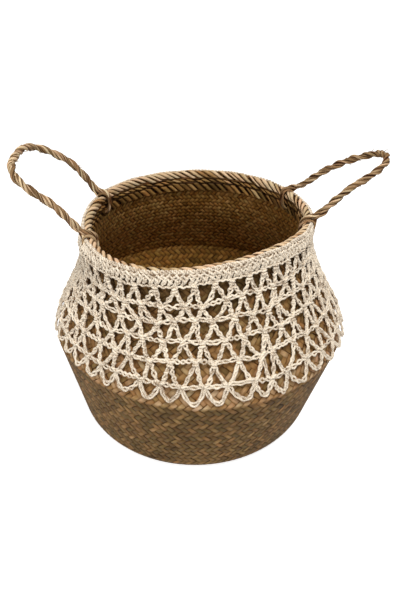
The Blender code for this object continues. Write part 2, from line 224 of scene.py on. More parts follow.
def wall_point(theta, climb):
    """The whole wall in one: climb runs from the base's edge to the rim."""
    theta, climb = np.broadcast_arrays(np.asarray(theta, float), np.asarray(climb, float))
    low = lower_point(theta, climb)
    high = upper_point(theta, np.minimum(WALL_LENGTH - climb, UPPER_LENGTH))
    return np.where((climb > CREASE_CLIMB)[..., None], high, low)


print(f"wall from base to rim along the surface: {WALL_LENGTH * 1000:.0f} mm")


# %% Directions and lengths
def unit(vectors):
    """The same directions with length 1."""
    return vectors / np.maximum(np.linalg.norm(vectors, axis=-1, keepdims=True), 1e-12)


def square_to(vectors, ahead):
    """Each vector's direction once its part along ahead is taken out."""
    return unit(vectors - ahead * np.sum(vectors * ahead, -1, keepdims=True))


def stacked(x, y, z):
    """Three arrays of numbers as one array of points."""
    return np.stack(np.broadcast_arrays(x, y, z), -1)


def distance_along(lines):
    """How far each point is from the start of its line. One line or many."""
    steps = np.linalg.norm(np.diff(lines, axis=-2), axis=-1)
    return np.concatenate([np.zeros((*steps.shape[:-1], 1)), np.cumsum(steps, -1)], -1)


def surface_frame(place, theta, level, step=0.0004):
    """The point, and the directions round, up and out of the surface there."""
    theta, level = np.broadcast_arrays(np.asarray(theta, float), np.asarray(level, float))
    here = place(theta, level)
    around = unit(place(theta + step * 5, level) - place(theta - step * 5, level))
    along = unit(place(theta, level + step) - place(theta, level - step))
    out = unit(np.cross(around, along))
    inward = np.sum(out * outward(theta), -1, keepdims=True) < 0
    return here, around, along, np.where(inward, -out, out)


# %% [markdown]
# ## Node helpers
#
# A material is easier to read as sums than as boxes and noodles. `Wire` wraps a node's output,
# so `1 - streaks * 0.3` adds the nodes it needs. Colours and directions go through vector
# nodes, since a plain Math node would turn a colour grey.


# %% Wires
class Wire:
    """A node's output, on which sums add nodes."""

    def __init__(self, socket):
        self.socket = socket

    @staticmethod
    def node(tree, kind, settings=None, inputs=None, output=0):
        """Adds one node: its settings first, then values or wires for its inputs."""
        made = tree.nodes.new(kind)
        for name, value in (settings or {}).items():
            if name == "stops":
                fill_ramp(made.color_ramp, value)
            else:
                setattr(made, name, value)
        for name, value in (inputs or {}).items():
            plug = made.inputs[name]
            if isinstance(value, Wire):
                tree.links.new(value.socket, plug)
            elif plug.type == "RGBA":
                plug.default_value = (*value, 1)
            elif plug.type == "VECTOR" and isinstance(value, (int, float)):
                plug.default_value = (value, value, value)
            else:
                plug.default_value = value
        return Wire(made.outputs[output])

    def sum_of(self, operation, first, second):
        """A node for one sum. It works on vectors if either side is one."""
        several = [w for w in (first, second) if isinstance(w, Wire)]
        vector = any(w.socket.type != "VALUE" for w in several)
        kind = "ShaderNodeVectorMath" if vector else "ShaderNodeMath"
        return Wire.node(self.socket.id_data, kind, {"operation": operation}, {0: first, 1: second})

    def __add__(self, other):
        return self.sum_of("ADD", self, other)

    def __sub__(self, other):
        return self.sum_of("SUBTRACT", self, other)

    def __rsub__(self, other):
        return self.sum_of("SUBTRACT", other, self)

    def __mul__(self, other):
        return self.sum_of("MULTIPLY", self, other)

    # The order makes no difference to a sum or a product
    __radd__ = __add__
    __rmul__ = __mul__


# %% A finish
def fill_ramp(ramp, stops):
    """Sets a colour ramp's stops from (position, colour) pairs."""
    while len(ramp.elements) < len(stops):
        ramp.elements.new(0.5)
    for element, (position, colour) in zip(ramp.elements, stops):
        element.position = position
        element.color = (*colour, 1)


class Finish:
    """A material, with its shader ready and a short way to add nodes."""

    def __init__(self, name, roughness, specular=0.5, sheen=0.0):
        self.material = bpy.data.materials.new(name)
        self.material.use_nodes = True
        self.tree = self.material.node_tree
        self.shader = self.tree.nodes["Principled BSDF"]
        self.shader.inputs["Roughness"].default_value = roughness
        self.shader.inputs["Specular IOR Level"].default_value = specular
        self.shader.inputs["Sheen Weight"].default_value = sheen

    def add(self, kind, settings=None, inputs=None, output=0):
        return Wire.node(self.tree, kind, settings, inputs, output)

    def stored(self, name, output="Vector"):
        return self.add("ShaderNodeAttribute", {"attribute_name": name}, output=output)

    def split(self, vector):
        """The three numbers of a vector."""
        parts = self.add("ShaderNodeSeparateXYZ", None, {0: vector})
        return [Wire(plug) for plug in parts.socket.node.outputs]

    def noise(self, vector, scale, detail=2.0):
        inputs = {"Vector": vector, "Scale": scale, "Detail": detail}
        return self.add("ShaderNodeTexNoise", None, inputs)

    def spread(self, value, low, high, low_to=0.0, high_to=1.0):
        inputs = {0: value, 1: low, 2: high, 3: low_to, 4: high_to}
        return self.add("ShaderNodeMapRange", None, inputs)

    def ramp(self, value, stops):
        return self.add("ShaderNodeValToRGB", {"stops": stops}, {0: value})

    def mix(self, share, first, second, kind="MIX"):
        settings = {"data_type": "RGBA", "blend_type": kind}
        return self.add("ShaderNodeMix", settings, {0: share, 6: first, 7: second}, output=2)

    def show(self, name, value):
        self.tree.links.new(value.socket, self.shader.inputs[name])

    def bump(self, height, distance):
        inputs = {"Strength": 1.0, "Distance": distance, "Height": height}
        self.show("Normal", self.add("ShaderNodeBump", None, inputs))


# %% [markdown]
# ## Finishes
#
# A dried seagrass strip is pale tan to olive brown, each one a little different, with fine
# fibres along its length and a dull shine. The strips carry stored values: where a point
# lies along and across its strip, its tone, with painted light and shade in it, how deep it
# sits in the plait, and whether it faces into the basket. Deep places are darker: painted
# shade, with some dirt. The side that faces inward gets a warmer brown, painted bounce light.


# %% Seagrass
# A warmer brown for the side that faces inward: painted bounce light
INNER_BOUNCE_TINT = (1.05, 0.88, 0.48)


def seagrass(name, tones, shade, roughness=0.62):
    """Flat strips: a tone for each strip, streaks along it, stains across many strips."""
    finish = Finish(name, roughness, 0.12)
    fibre = finish.stored("fibre")
    tone = finish.stored("tone", "Fac")
    depth = finish.stored("depth", "Fac")
    inner = finish.stored("inner", "Fac")
    place = finish.add("ShaderNodeTexCoord", output="Object")
    streaks = finish.noise(fibre * (90.0, 2400.0, 31.0), 1.0, 3.0)
    bands = finish.noise(fibre * (45.0, 260.0, 17.0), 1.0, 2.0)
    stains = finish.noise(place, 11.0, 2.0)
    value = tone + finish.spread(bands, 0.3, 0.7, -0.08, 0.08)
    value = value + finish.spread(stains, 0.3, 0.7, -0.06, 0.06)
    colour = finish.ramp(value, tones)
    dull = finish.ramp(streaks, ((0.3, (0.74,) * 3), (0.65, (1.14,) * 3)))
    colour = finish.mix(1.0, colour, dull, "MULTIPLY")
    tint = finish.noise(fibre * (38.0, 0.0, 7.3), 1.0, 1.0)
    hues = finish.ramp(tint, ((0.35, (0.96, 1.01, 0.97)), (0.65, (1.08, 0.95, 0.92))))
    colour = finish.mix(1.0, colour, hues, "MULTIPLY")
    # Painted shade in deep places, by the stored depth
    colour = finish.mix(depth, colour, finish.mix(1.0, colour, shade, "MULTIPLY"))
    # Painted warm bounce light on the side that faces inward
    colour = finish.mix(inner, colour, finish.mix(1.0, colour, INNER_BOUNCE_TINT, "MULTIPLY"))
    finish.show("Base Color", colour)
    finish.show("Roughness", finish.spread(streaks, 0.3, 0.7, roughness - 0.1, roughness + 0.12))
    finish.bump(streaks * 0.7 + bands * 0.3, 0.0003)
    return finish.material


def yarn(name, dark, light, lay, ply):
    """Twisted cotton: painted shade in a slanted groove for each ply, soft fuzz and a few duller
    lengths.
    """
    finish = Finish(name, 0.9, 0.2, 0.15)
    along, cosine, sine = finish.split(finish.stored("fibre"))
    tone = finish.stored("tone", "Fac")
    place = finish.add("ShaderNodeTexCoord", output="Object")
    angle = along * (TURN * ply / lay)
    turned_cosine = finish.add("ShaderNodeMath", {"operation": "COSINE"}, {0: angle})
    turned_sine = finish.add("ShaderNodeMath", {"operation": "SINE"}, {0: angle})
    groove = finish.spread(cosine * turned_cosine + sine * turned_sine, -1.0, 1.0)
    fuzz = finish.noise(place, 1400.0, 2.0)
    patches = finish.noise(place, 220.0, 3.0)
    # The groove darkens the colour as painted shade, and is also a bump
    value = groove * 0.4 + tone * 0.35 + patches * 0.9 - 0.35
    finish.show("Base Color", finish.ramp(value, ((0.08, dark), (0.56, light))))
    finish.bump(groove * 0.8 + fuzz * 0.35, 0.0004)
    return finish.material


TONES = (
    (0.0, (0.085, 0.046, 0.013)),
    (0.3, (0.190, 0.116, 0.042)),
    (0.6, (0.41, 0.240, 0.092)),
    (1.0, (0.78, 0.58, 0.37)),
)
ROPE_TONES = ((0.0, (0.05, 0.022, 0.006)), (0.5, (0.29, 0.175, 0.080)), (1.0, (0.82, 0.63, 0.40)))
# The two plait finishes differ only in the colour of their painted shade
grey_plait = seagrass("grey_plait", TONES, (0.30, 0.25, 0.18))
tan_plait = seagrass("tan_plait", TONES, (0.28, 0.20, 0.12))
handle_rope = seagrass("handle_rope", ROPE_TONES, (0.25, 0.15, 0.08), 0.5)
crochet_yarn = yarn("crochet_yarn", (0.32, 0.21, 0.12), (0.96, 0.84, 0.67), 0.004, 2)
print("finishes:", len(bpy.data.materials))


# %% [markdown]
# ## Meshes from grids
#
# Strips and strands are both long grids of points: a strip is a few points wide, and a strand
# is a ring of points. Making all the strips of a wall as one array is much quicker than making
# them one by one, and each whole wall becomes one object.


# %% Grids into one mesh
# Twice a face's area, in square metres
SMALLEST_FACE = 1e-9


class Grid(NamedTuple):
    """Points of many strips or strands, with the values their finish reads."""

    points: object
    closed: bool
    fibre: object
    tone: object
    depth: object = 0.0
    inner: object = 0.0


def grid_faces(count, length, width, closed):
    """Corner numbers of every quad of count grids, each length by width points."""
    across = width if closed else width - 1
    rows = np.arange(length - 1)[:, None]
    columns = np.arange(across)[None, :]
    after = (columns + 1) % width
    here = rows * width
    above = here + width
    corners = np.stack([here + columns, here + after, above + after, above + columns], -1)
    corners = corners.reshape(-1, 4)
    starts = np.arange(count)[:, None, None] * (length * width)
    return (corners[None] + starts).reshape(-1, 4)


# %% One object from grids
def make_piece(name, grids, finish):
    """One object from grids, with their values stored at its points."""
    points, faces = [], []
    stored = {"fibre": [], "tone": [], "depth": [], "inner": []}
    start = 0
    for grid in grids:
        shape = grid.points.shape[:-1]
        points.append(grid.points.reshape(-1, 3))
        faces.append(grid_faces(*shape, grid.closed) + start)
        stored["fibre"].append(grid.fibre.reshape(-1, 3))
        for label in ("tone", "depth", "inner"):
            stored[label].append(np.broadcast_to(getattr(grid, label), shape).reshape(-1))
        start += len(points[-1])
    points, faces = np.concatenate(points), np.concatenate(faces)
    corners = points[faces]
    crossed = np.cross(corners[:, 2] - corners[:, 0], corners[:, 3] - corners[:, 1])
    kept = faces[np.linalg.norm(crossed, axis=-1) > SMALLEST_FACE]
    used, faces = np.unique(kept, return_inverse=True)
    faces = faces.reshape(-1, 4)
    points = points[used]
    mesh = bpy.data.meshes.new(name)
    mesh.vertices.add(len(points))
    mesh.vertices.foreach_set("co", points.astype(np.float32).ravel())
    mesh.loops.add(faces.size)
    mesh.loops.foreach_set("vertex_index", faces.astype(np.int32).ravel())
    mesh.polygons.add(len(faces))
    mesh.polygons.foreach_set("loop_start", np.arange(0, faces.size, 4, dtype=np.int32))
    mesh.polygons.foreach_set("loop_total", np.full(len(faces), 4, np.int32))
    mesh.update(calc_edges=True)
    mesh.validate()
    for label, values in stored.items():
        kind, key = ("FLOAT_VECTOR", "vector") if label == "fibre" else ("FLOAT", "value")
        store = mesh.attributes.new(label, kind, "POINT")
        store.data.foreach_set(key, np.concatenate(values)[used].astype(np.float32).ravel())
    mesh.shade_smooth()
    mesh.materials.append(finish)
    piece = bpy.data.objects.new(name, mesh)
    bpy.context.scene.collection.objects.link(piece)
    print(f"{name}: {len(faces) * 2} triangles")
    return piece


# %% [markdown]
# ## The plait
#
# The strips run up to the right and up to the left, over two and under two. Counting in strips
# instead of metres makes this easy: give each family whole numbers, and the two numbers of a
# crossing say which strip is on top. Strips over two and under two, shifted one each row, give
# level bands of slanted tiles that lean left and right by turns.

# %% Counting in strips
STRIPS = 132
STRIP_FILL = 0.98
WEAVE_LIFT = 0.00040
PLAIT_SINK = 0.0007
CROWN_LIFT = 0.00026
EDGE_SHARES = np.array((-1.0, -0.84, 0.0, 0.84, 1.0))
CROWN = 1 - np.abs(EDGE_SHARES) ** 8
FLOAT_SHARES = np.array((0.2, 1.0, 1.8))
SHEET_ROWS = 24
climb_steps = np.linspace(0, WALL_LENGTH, 600)
ring = wall_point(np.linspace(0, TURN, 24, endpoint=False)[:, None], climb_steps[None, :])
ring_radius = np.hypot(ring[..., 0], ring[..., 1]).mean(0)
turn_growth = np.diff(climb_steps) * STRIPS / (TURN * (ring_radius[1:] + ring_radius[:-1]) / 2)
turns_steps = np.concatenate([[0.0], np.cumsum(turn_growth)])
floats = np.arange(-1, math.ceil(turns_steps[-1]) + 2)
strip_width = TURN * ring_radius.mean() / STRIPS / math.sqrt(2)

# Each strip's own width, wander and tone, shared by the lower and the upper wall
width_share = 1 + 0.06 * dice.standard_normal((2, STRIPS, 1, 1))
wander_phase = dice.uniform(0, TURN, (2, STRIPS, 1, 1))
wander_pace = dice.uniform(0.2, 0.5, (2, STRIPS, 1, 1))
strip_tone = 0.085 * dice.standard_normal((2, STRIPS, 1, 1))
float_tone = 0.055 * dice.standard_normal((2, STRIPS, len(floats), 1))
print(f"strips: {STRIPS} each way, {strip_width * 1000:.1f} mm from one to the next")

# %% Tones of the strips
# Outside and inside, at these distances above the crease
# The outside's tones hold painted light and shade, with some duller grass below the crease
LOWER_TONE = 0.34
OUTER_PLACES = CREASE_CLIMB + np.array((-0.005, 0.001, 0.020, 0.065, UPPER_LENGTH))
OUTER_TONES = (LOWER_TONE, 0.70, 0.64, 0.44, 0.26)
# The inside's tones hold painted light and shade: darker in the bowl, paler towards the rim
INNER_PLACES = CREASE_CLIMB + np.array((-0.008, 0.0, 0.012, 0.030))
INNER_TONES = (0.46, 0.57, 0.59, 0.68)
# Painted light that makes the inside paler on the left
LEFT_LIGHT_PLACE = 185
LEFT_LIGHT_WIDTH = 50
LEFT_LIGHT_TONE = 0.24
# Painted shade at a strip's edges and where it dips under at a float's ends
EDGE_DARK = 0.85
DIP_DARK = 0.35


def outer_tone(climb):
    """Painted light and shade, with duller grass below the crease: palest just above it, darker below
    it and again towards the rim.
    """
    return np.interp(climb, OUTER_PLACES, OUTER_TONES)


def inner_tone(theta, climb):
    """The side that faces into the basket, with painted light and shade: a little paler on the left.
    """
    left_light = LEFT_LIGHT_TONE * near(theta, LEFT_LIGHT_PLACE, LEFT_LIGHT_WIDTH)
    return np.interp(climb, INNER_PLACES, INNER_TONES) + left_light


def strip_depth(ends):
    """Painted shade: dark at the strip's edges and where it dips at a float's ends."""
    return np.clip(EDGE_DARK * (1 - CROWN) + DIP_DARK * ends, 0, 1)


# %% Rows along the strips
def float_rows(numbers):
    """Three rows for each float: where they are, which side is up, which are its ends."""
    along = (2 * numbers[:, None] - 0.5 + FLOAT_SHARES).ravel()
    over = np.where(np.repeat(numbers, 3) % 2 == 0, 1.0, -1.0)
    ends = np.tile((1.0, 0.0, 1.0), len(numbers))
    return [values[None, :, None] for values in (along, over, ends)]


def kept_rows(places, low, high):
    """Row numbers that stop one row past each end, so that nothing is piled up there."""
    rows = places.shape[1]
    first = np.maximum((places <= low).sum(1, keepdims=True) - 1, 0)
    last = np.minimum((places < high).sum(1, keepdims=True), rows - 1)
    return np.clip(np.arange(rows)[None, :, None], first, last)


def take_rows(rows, *values):
    """The values of the kept rows. Rows past an end repeat the last one, and have no area."""
    return [np.take_along_axis(np.broadcast_to(value, rows.shape), rows, 1) for value in values]


# %% Both families of strips
def sheet_places(count, low, high):
    """Angles all round the basket and levels between two, for one closed sheet."""
    theta = TURN * np.arange(count + 1)[None, :, None] / count
    return theta, np.linspace(low, high, SHEET_ROWS)[None, None, :]


def plait_wall(low, high):
    """Both families of strips between two levels, as grids, with a dark sheet between them: painted
    shade in the gaps.
    """
    low_turn, high_turn = np.interp((low, high), climb_steps, turns_steps)
    along, over, ends = float_rows(floats)
    strip = np.arange(STRIPS)[:, None, None]
    grids = []
    for family, lean in enumerate((1, -1)):
        wander = 0.07 * np.sin(along * wander_pace[family] + wander_phase[family])
        across = STRIP_FILL / 2 * EDGE_SHARES * width_share[family] + wander
        rows = kept_rows((along - across) / 2, low_turn, high_turn)
        turn = np.clip((along - across) / 2, low_turn, high_turn)
        theta = TURN * (strip + 0.5 + across + turn) / STRIPS * lean
        climb = np.interp(turn, turns_steps, climb_steps)
        lift = over * lean * (WEAVE_LIFT + CROWN_LIFT * CROWN) - PLAIT_SINK
        theta, climb, lift = take_rows(rows, theta, climb, lift)
        here, _, _, out = surface_frame(wall_point, theta, climb)
        points = here + lift[..., None] * out
        fibre = stacked(along * strip_width, across * strip_width, strip + 0.5 * family)
        each = strip_tone[family] + np.repeat(float_tone[family], 3, axis=1)
        under = np.where(over * lean < 0, 1.0, 0.0)
        tone = np.where(under > 0, inner_tone(theta, climb), outer_tone(climb)) + each
        grids.append(Grid(points, False, fibre, tone, strip_depth(ends), under))
    # A dark sheet between the strips: painted shade where the gaps show
    here, _, _, out = surface_frame(wall_point, *sheet_places(STRIPS, low, high))
    sheet = here - PLAIT_SINK * out
    grids.append(Grid(sheet, False, sheet, 0.2, 1.0))
    return grids


# %% Lower and upper wall
lower_plait = make_piece("lower_plait", plait_wall(0.0, CREASE_CLIMB), grey_plait)
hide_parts("lower_wall")
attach(lower_plait, "basket")

upper_grids = plait_wall(CREASE_CLIMB, WALL_LENGTH)
upper_plait = make_piece("upper_plait", upper_grids, tan_plait)
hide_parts("upper_wall")
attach(upper_plait, "basket")

# %% [markdown]
# ## The base
#
# The base is the same plait, begun flat: two families of straight strips that cross square on
# and end where the wall starts. Each strip is as long as the circle is wide at its place.

# %% Base
BASE_STRIP = 0.0062
BASE_SINK = 0.0011
BASE_REACH = BASE_RADIUS + 0.0035
BASE_TONE_SPREAD = 0.10


def flat_plait():
    """Straight strips, each cut off at the circle where the wall begins."""
    count = math.floor(2 * BASE_REACH / BASE_STRIP)
    half = count // 2 + 2
    pairs = np.arange(-half, half)
    along, up_side, ends = float_rows(pairs)
    grids = []
    for family, lean in enumerate((1, -1)):
        strip = np.arange(count)[:, None, None] - count // 2
        across = strip + STRIP_FILL / 2 * EDGE_SHARES
        reach = np.sqrt(np.maximum((BASE_REACH / BASE_STRIP) ** 2 - across**2, 0))
        rows = kept_rows(along + lean * strip + 0.0 * reach, -reach, reach)
        length = np.clip(along + lean * strip, -reach, reach)
        over = up_side * lean
        lift = over * (WEAVE_LIFT + CROWN_LIFT * CROWN) + BASE_SINK
        length, lift = take_rows(rows, length, lift)
        ahead = length * BASE_STRIP
        beside = across * BASE_STRIP
        points = stacked(ahead, beside, lift) if lean > 0 else stacked(beside, ahead, lift)
        fibre = stacked(ahead, beside, strip + 0.5 * family)
        tone = LOWER_TONE + BASE_TONE_SPREAD * dice.standard_normal((count, 1, 1))
        under = np.where(over < 0, 0.0, 1.0)
        grids.append(Grid(points, False, fibre, tone, strip_depth(ends), under))
    return grids


base_plait = make_piece("base_plait", flat_plait(), grey_plait)
base_plait.data.transform(Matrix.Rotation(math.radians(45), 4, "Z"))
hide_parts("base_mat")
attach(base_plait, "basket")

# %% [markdown]
# ## The rim
#
# At the top the strips are folded over the edge and woven back down inside. The folded layer
# shows three rows of strokes that all lean one way, with small dips between the rows where the
# strips below pass over, painted dark as shade. It is laid on a path that comes up outside,
# turns over the crown and goes down inside. The top row is painted pale as lit from above, and
# the rows inside darker and warmer, painted shade and bounce light. A dark sheet behind the
# strips closes the gaps between them, as painted shade.

# %% The border's path
CROWN_RADIUS = WALL_THICKNESS / 2 + PART_GAP + BORDER_THICKNESS
CROWN_DROP = PART_GAP + BORDER_THICKNESS - CROWN_RADIUS
BORDER_MIDDLE = CROWN_RADIUS - BORDER_THICKNESS / 2
BORDER_OVER = math.pi * BORDER_MIDDLE
BORDER_LENGTH = BORDER_LIP + BORDER_OVER + BORDER_DEPTH


def crown_centre(theta):
    """The middle of the bend over the wall's top edge."""
    theta = np.asarray(theta, float)
    top = upper_point(theta, np.zeros_like(theta))
    return top - WALL_THICKNESS / 2 * outward(theta) + CROWN_DROP * UP


def border_point(theta, level):
    """Level 0 at the outer lip, up over the crown and down the inside."""
    theta, level = np.broadcast_arrays(np.asarray(theta, float), np.asarray(level, float))
    angle = np.clip((level - BORDER_LIP) / BORDER_MIDDLE, 0, math.pi)
    over = crown_centre(theta) + BORDER_MIDDLE * (
        np.cos(angle)[..., None] * outward(theta) + np.sin(angle)[..., None] * UP
    )
    outside = np.maximum(BORDER_LIP - level, 0)
    inside = np.maximum(level - BORDER_LIP - BORDER_OVER, 0)
    drop = outside + inside
    slide = upper_point(theta, drop) - upper_point(theta, 0 * drop)
    return over + slide


def border_frame(theta, level):
    """The point, and the direction away from the wall: outward, upward, then inward."""
    here, _, _, out = surface_frame(border_point, theta, level)
    flip = np.where(level > BORDER_LIP + BORDER_OVER / 2, -1.0, 1.0)[..., None]
    top = (level > BORDER_LIP) & (level < BORDER_LIP + BORDER_OVER)
    facing = np.where(top[..., None], unit(here - crown_centre(theta)), out * flip)
    return here, facing


# %% Folded strips
RIM_STRIPS = 78
RIM_FILLS = (0.74, 0.98)
RIM_SHARES = np.array((-1.0, -0.7, -0.25, 0.25, 0.7, 1.0))
RIM_LEVELS = 48
RIM_EDGE_LIFT = 0.0003
RIM_LIFT = 0.0010
RIM_BACKING = 0.0014
RIM_WIDTH_SPREAD = 0.14
RIM_PLACE_SPREAD = 0.09
RIM_LEVEL_SPREAD = 0.0006
RIM_LIFT_SPREAD = 0.00025
DIP_WIDTH = 0.0010
DIP_SHARE = 1.9
FIBRE_WIDTH = 0.009
ROW_LEVELS = (0.0, 0.0185, 0.0240, BORDER_LENGTH)
ROW_SLIDES = (0.0, 0.0300, 0.0405, 0.0500)
# Painted light and shade by rows: the top row pale as lit from above, the rows inside darker
ROW_TONES = (0.93, 0.50, 0.40)
# How much painted warm bounce light each row gets
ROW_INNER = (0.0, 0.4, 0.5)


def rim_strips():
    """Two families of slanted strips over the edge, one on top, and a dark sheet behind them as
    painted shade.
    """
    level = np.linspace(0, BORDER_LENGTH, RIM_LEVELS)[None, :, None]
    strip = np.arange(RIM_STRIPS)[:, None, None]
    slide = np.interp(level, ROW_LEVELS, ROW_SLIDES)
    row = np.searchsorted(ROW_LEVELS[1:-1], level[0, :, 0])
    row_tone = np.array(ROW_TONES)[row][None, :, None]
    row_inner = np.array(ROW_INNER)[row][None, :, None]
    each_row = dice.standard_normal((RIM_STRIPS, len(ROW_TONES)))[:, row, None]
    tone = row_tone + 0.15 * each_row
    edge_dark = 0.9 * np.abs(RIM_SHARES) ** 4
    each = (RIM_STRIPS, 1, 1)
    grids = []
    for family, lean in enumerate((-1, 1)):
        uneven_width = 1 + RIM_WIDTH_SPREAD * dice.standard_normal(each)
        across = RIM_FILLS[family] / 2 * RIM_SHARES * uneven_width
        shift = level + RIM_LEVEL_SPREAD * dice.standard_normal(each)
        beside = RIM_PLACE_SPREAD * dice.standard_normal(each)
        theta = TURN * (strip + beside + across) / RIM_STRIPS + lean * slide / RIM_RADIUS
        dip = sum(np.exp(-(((shift - edge) / DIP_WIDTH) ** 2)) for edge in ROW_LEVELS[1:-1])
        side = (1 - DIP_SHARE * dip) * (1 if family == 0 else -1)
        lift = side * (RIM_EDGE_LIFT + RIM_LIFT * (1 - RIM_SHARES**2))
        lift = lift + RIM_LIFT_SPREAD * dice.standard_normal(each)
        here, facing = border_frame(theta, level)
        points = here + lift[..., None] * facing
        fibre = stacked(level * 2, across * FIBRE_WIDTH, strip + 0.5 * family)
        # Painted shade: dark at the edges and dips, and on the family beneath, whose tone is lower
        # too
        depth = np.clip(edge_dark + 0.9 * dip + 0.8 * family, 0, 1)
        grids.append(Grid(points, False, fibre, tone - 0.3 * family, depth, row_inner))
    # A dark sheet behind the strips: painted shade in the gaps
    here, facing = border_frame(*sheet_places(2 * RIM_STRIPS, 0, BORDER_LENGTH - RIM_BACKING))
    sheet = here - RIM_BACKING * facing
    grids.append(Grid(sheet, False, sheet, 0.1, 1.0))
    return grids


rim_folds = make_piece("rim_folds", rim_strips(), tan_plait)
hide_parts("rim_border")
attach(rim_folds, "neck")

# %% [markdown]
# ## Strands
#
# Yarn, chain stitches and rope plies are all tubes along a path. The rings of a tube must not
# twist against each other, so each ring's first direction is carried on from the ring before,
# for all the strands at once.


# %% Tubes along many paths
SIDEWAYS = np.array((1.0, 0.0, 0.0))
STEEP = 0.8
END_TAPER = 0.35
# Each strand starts further along the pattern of its finish, so that no two look alike
STRAND_SHIFT = 0.013


def tube_grid(paths, radius, sides, tone):
    """A closed grid round each path. Radius may vary along the paths."""
    ahead = np.empty_like(paths)
    ahead[:, 1:-1] = paths[:, 2:] - paths[:, :-2]
    ahead[:, 0] = paths[:, 1] - paths[:, 0]
    ahead[:, -1] = paths[:, -1] - paths[:, -2]
    ahead = unit(ahead)
    carried = np.where(np.abs(ahead[:, 0, 2:]) < STEEP, UP, SIDEWAYS)
    normals = np.empty_like(paths)
    for index in range(paths.shape[1]):
        carried = square_to(carried, ahead[:, index])
        normals[:, index] = carried
    beside = np.cross(ahead, normals)
    turn = TURN * np.arange(sides) / sides
    radius = np.broadcast_to(radius, paths.shape[:2])[..., None, None]
    ring_points = (
        np.cos(turn)[:, None] * normals[:, :, None, :]
        + np.sin(turn)[:, None] * beside[:, :, None, :]
    )
    points = paths[:, :, None, :] + radius * ring_points
    along = distance_along(paths) + STRAND_SHIFT * np.arange(len(paths))[:, None]
    fibre = stacked(along[..., None], np.cos(2 * turn), np.sin(2 * turn))
    return Grid(points, True, fibre, tone)


def tapered(count):
    """Shares of a radius that draws in at the first and last ring."""
    share = np.ones(count)
    share[[0, -1]] = END_TAPER
    return share


# %% [markdown]
# ## The crocheted cover
#
# The cover is worked downward from the rim. A dense band comes first. Then come five rounds of
# tall stitches: from a short post under a chain two legs spread apart, each down to the next
# chain, where they meet the legs of their neighbours, half a column along. The last round
# hangs in loops. A crocheted chain is two strands side by side that part and close at every
# stitch, so each leg here is two strands with small gaps between them.

# %% Places on the cover
COLUMNS = 46
ROUNDS = 5
YARN_RADIUS = 0.00099
COLLAR_DROP = BORDER_LIP - BORDER_THICKNESS + PART_GAP
COLLAR_HEIGHT = 0.0095
SCALLOP_HEIGHT = 0.018
NET_DROP = COLLAR_DROP + COLLAR_HEIGHT + PART_GAP
LINE_DROPS = NET_DROP + np.array((0.0, 0.0186, 0.0351, 0.0540, 0.0750, 0.0972))
POST_HEIGHT = 0.0056
COVER_LIFT = 0.0033
STITCH_LENGTH = 0.0068
CHAIN_SPREAD = 0.00095
CHAIN_DRIFT = 0.00036
CHAIN_WEAVE = 0.0005

# Where the loose cover stands off the wall, or lies closer to it: angle and its width in
# degrees, drop and its width, and how far
COVER_BULGES = (
    (202, 20, 0.004, 0.022, 0.0050),
    (340, 18, 0.002, 0.010, 0.0020),
    (204, 24, UPPER_LENGTH - 0.012, 0.020, 0.0012),
    (336, 24, UPPER_LENGTH - 0.012, 0.020, 0.0026),
    (345, 24, 0.034, 0.016, -0.0015),
    (345, 24, 0.068, 0.018, -0.0010),
)


# %% Uneven places and the cover's surface
def uneven(seed, amount, size):
    """Hand-made unevenness, with a seed of its own so that later steps don't change it."""
    return amount * np.random.default_rng(seed).standard_normal(size)


column_wander = np.stack([uneven(100 + line, 0.12, COLUMNS) for line in range(ROUNDS + 1)])
column_wander[0] *= 0.6
drop_wander = np.stack([uneven(200 + line, 0.0012, COLUMNS) for line in range(ROUNDS + 1)])
drop_wander[0] *= 0.3


def node_place(line, column):
    """Column and drop of a knot on a chain line. Column is a whole number."""
    wrapped = column % COLUMNS
    return (
        column + (line % 2) / 2 + column_wander[line, wrapped],
        LINE_DROPS[line] + drop_wander[line, wrapped],
    )


def stand_off(theta, drop):
    """How far the cover hangs off the wall beyond its usual lift."""
    return sum(
        far * near(theta, place, width) * np.exp(-(((drop - level) / height) ** 2))
        for place, width, level, height, far in COVER_BULGES
    )


def between(start, end, share):
    """For each column, values that run from its start to its end."""
    return start[:, None] + (end - start)[:, None] * share


def cover_frame(column, drop):
    """The point on the cover, and the directions round and out of it."""
    theta = TURN * (np.asarray(column, float) + 0.25) / COLUMNS
    here, around, _, out = surface_frame(upper_point, theta, drop)
    return here + stand_off(theta, drop)[..., None] * out, around, out


def cover_path(column, drop, lift):
    """Points that far out from the cover's surface."""
    here, _, out = cover_frame(column, drop)
    return here + np.asarray(lift)[..., None] * out


# %% Chain stitches along a path
def chain_pair(column, drop, lift, spread=CHAIN_SPREAD):
    """Two strands side by side that part and close at each stitch, none quite alike."""
    here, _, out = cover_frame(column, drop)
    middle = here + lift[..., None] * out
    ahead = unit(np.gradient(middle, axis=1))
    side = unit(np.cross(out, ahead))
    each = (len(middle), 1)
    along = distance_along(middle)
    stitch_length = STITCH_LENGTH * dice.uniform(0.7, 1.5, each)
    turn = TURN * along / stitch_length + dice.uniform(0, TURN, each)
    open_share = dice.uniform(0.1, 0.75, each)
    strands = []
    for sign in (1, -1):
        pace = dice.uniform(250, 900, each)
        phase = dice.uniform(0, TURN, each)
        drift = CHAIN_DRIFT * np.sin(along * pace + phase)
        offset = (sign * spread * (1 + open_share * np.cos(turn)) + drift)[..., None] * side
        weave = sign * (CHAIN_WEAVE * np.sin(turn))[..., None] * out
        strands.append(middle + offset + weave)
    return np.concatenate(strands)


def strand_tone(count):
    """A tone for each strand, around the middle of the yarn's range."""
    return (0.5 + 0.25 * dice.standard_normal(count))[:, None, None]


def add_yarn(grids, paths, radius=YARN_RADIUS, sides=6):
    """Adds a strand of yarn along each path, each a little thicker or thinner."""
    thick = radius * (1 + 0.10 * dice.standard_normal((len(paths), 1)))
    thick = thick * tapered(paths.shape[1])
    grids.append(tube_grid(paths, thick, sides, strand_tone(len(paths))))


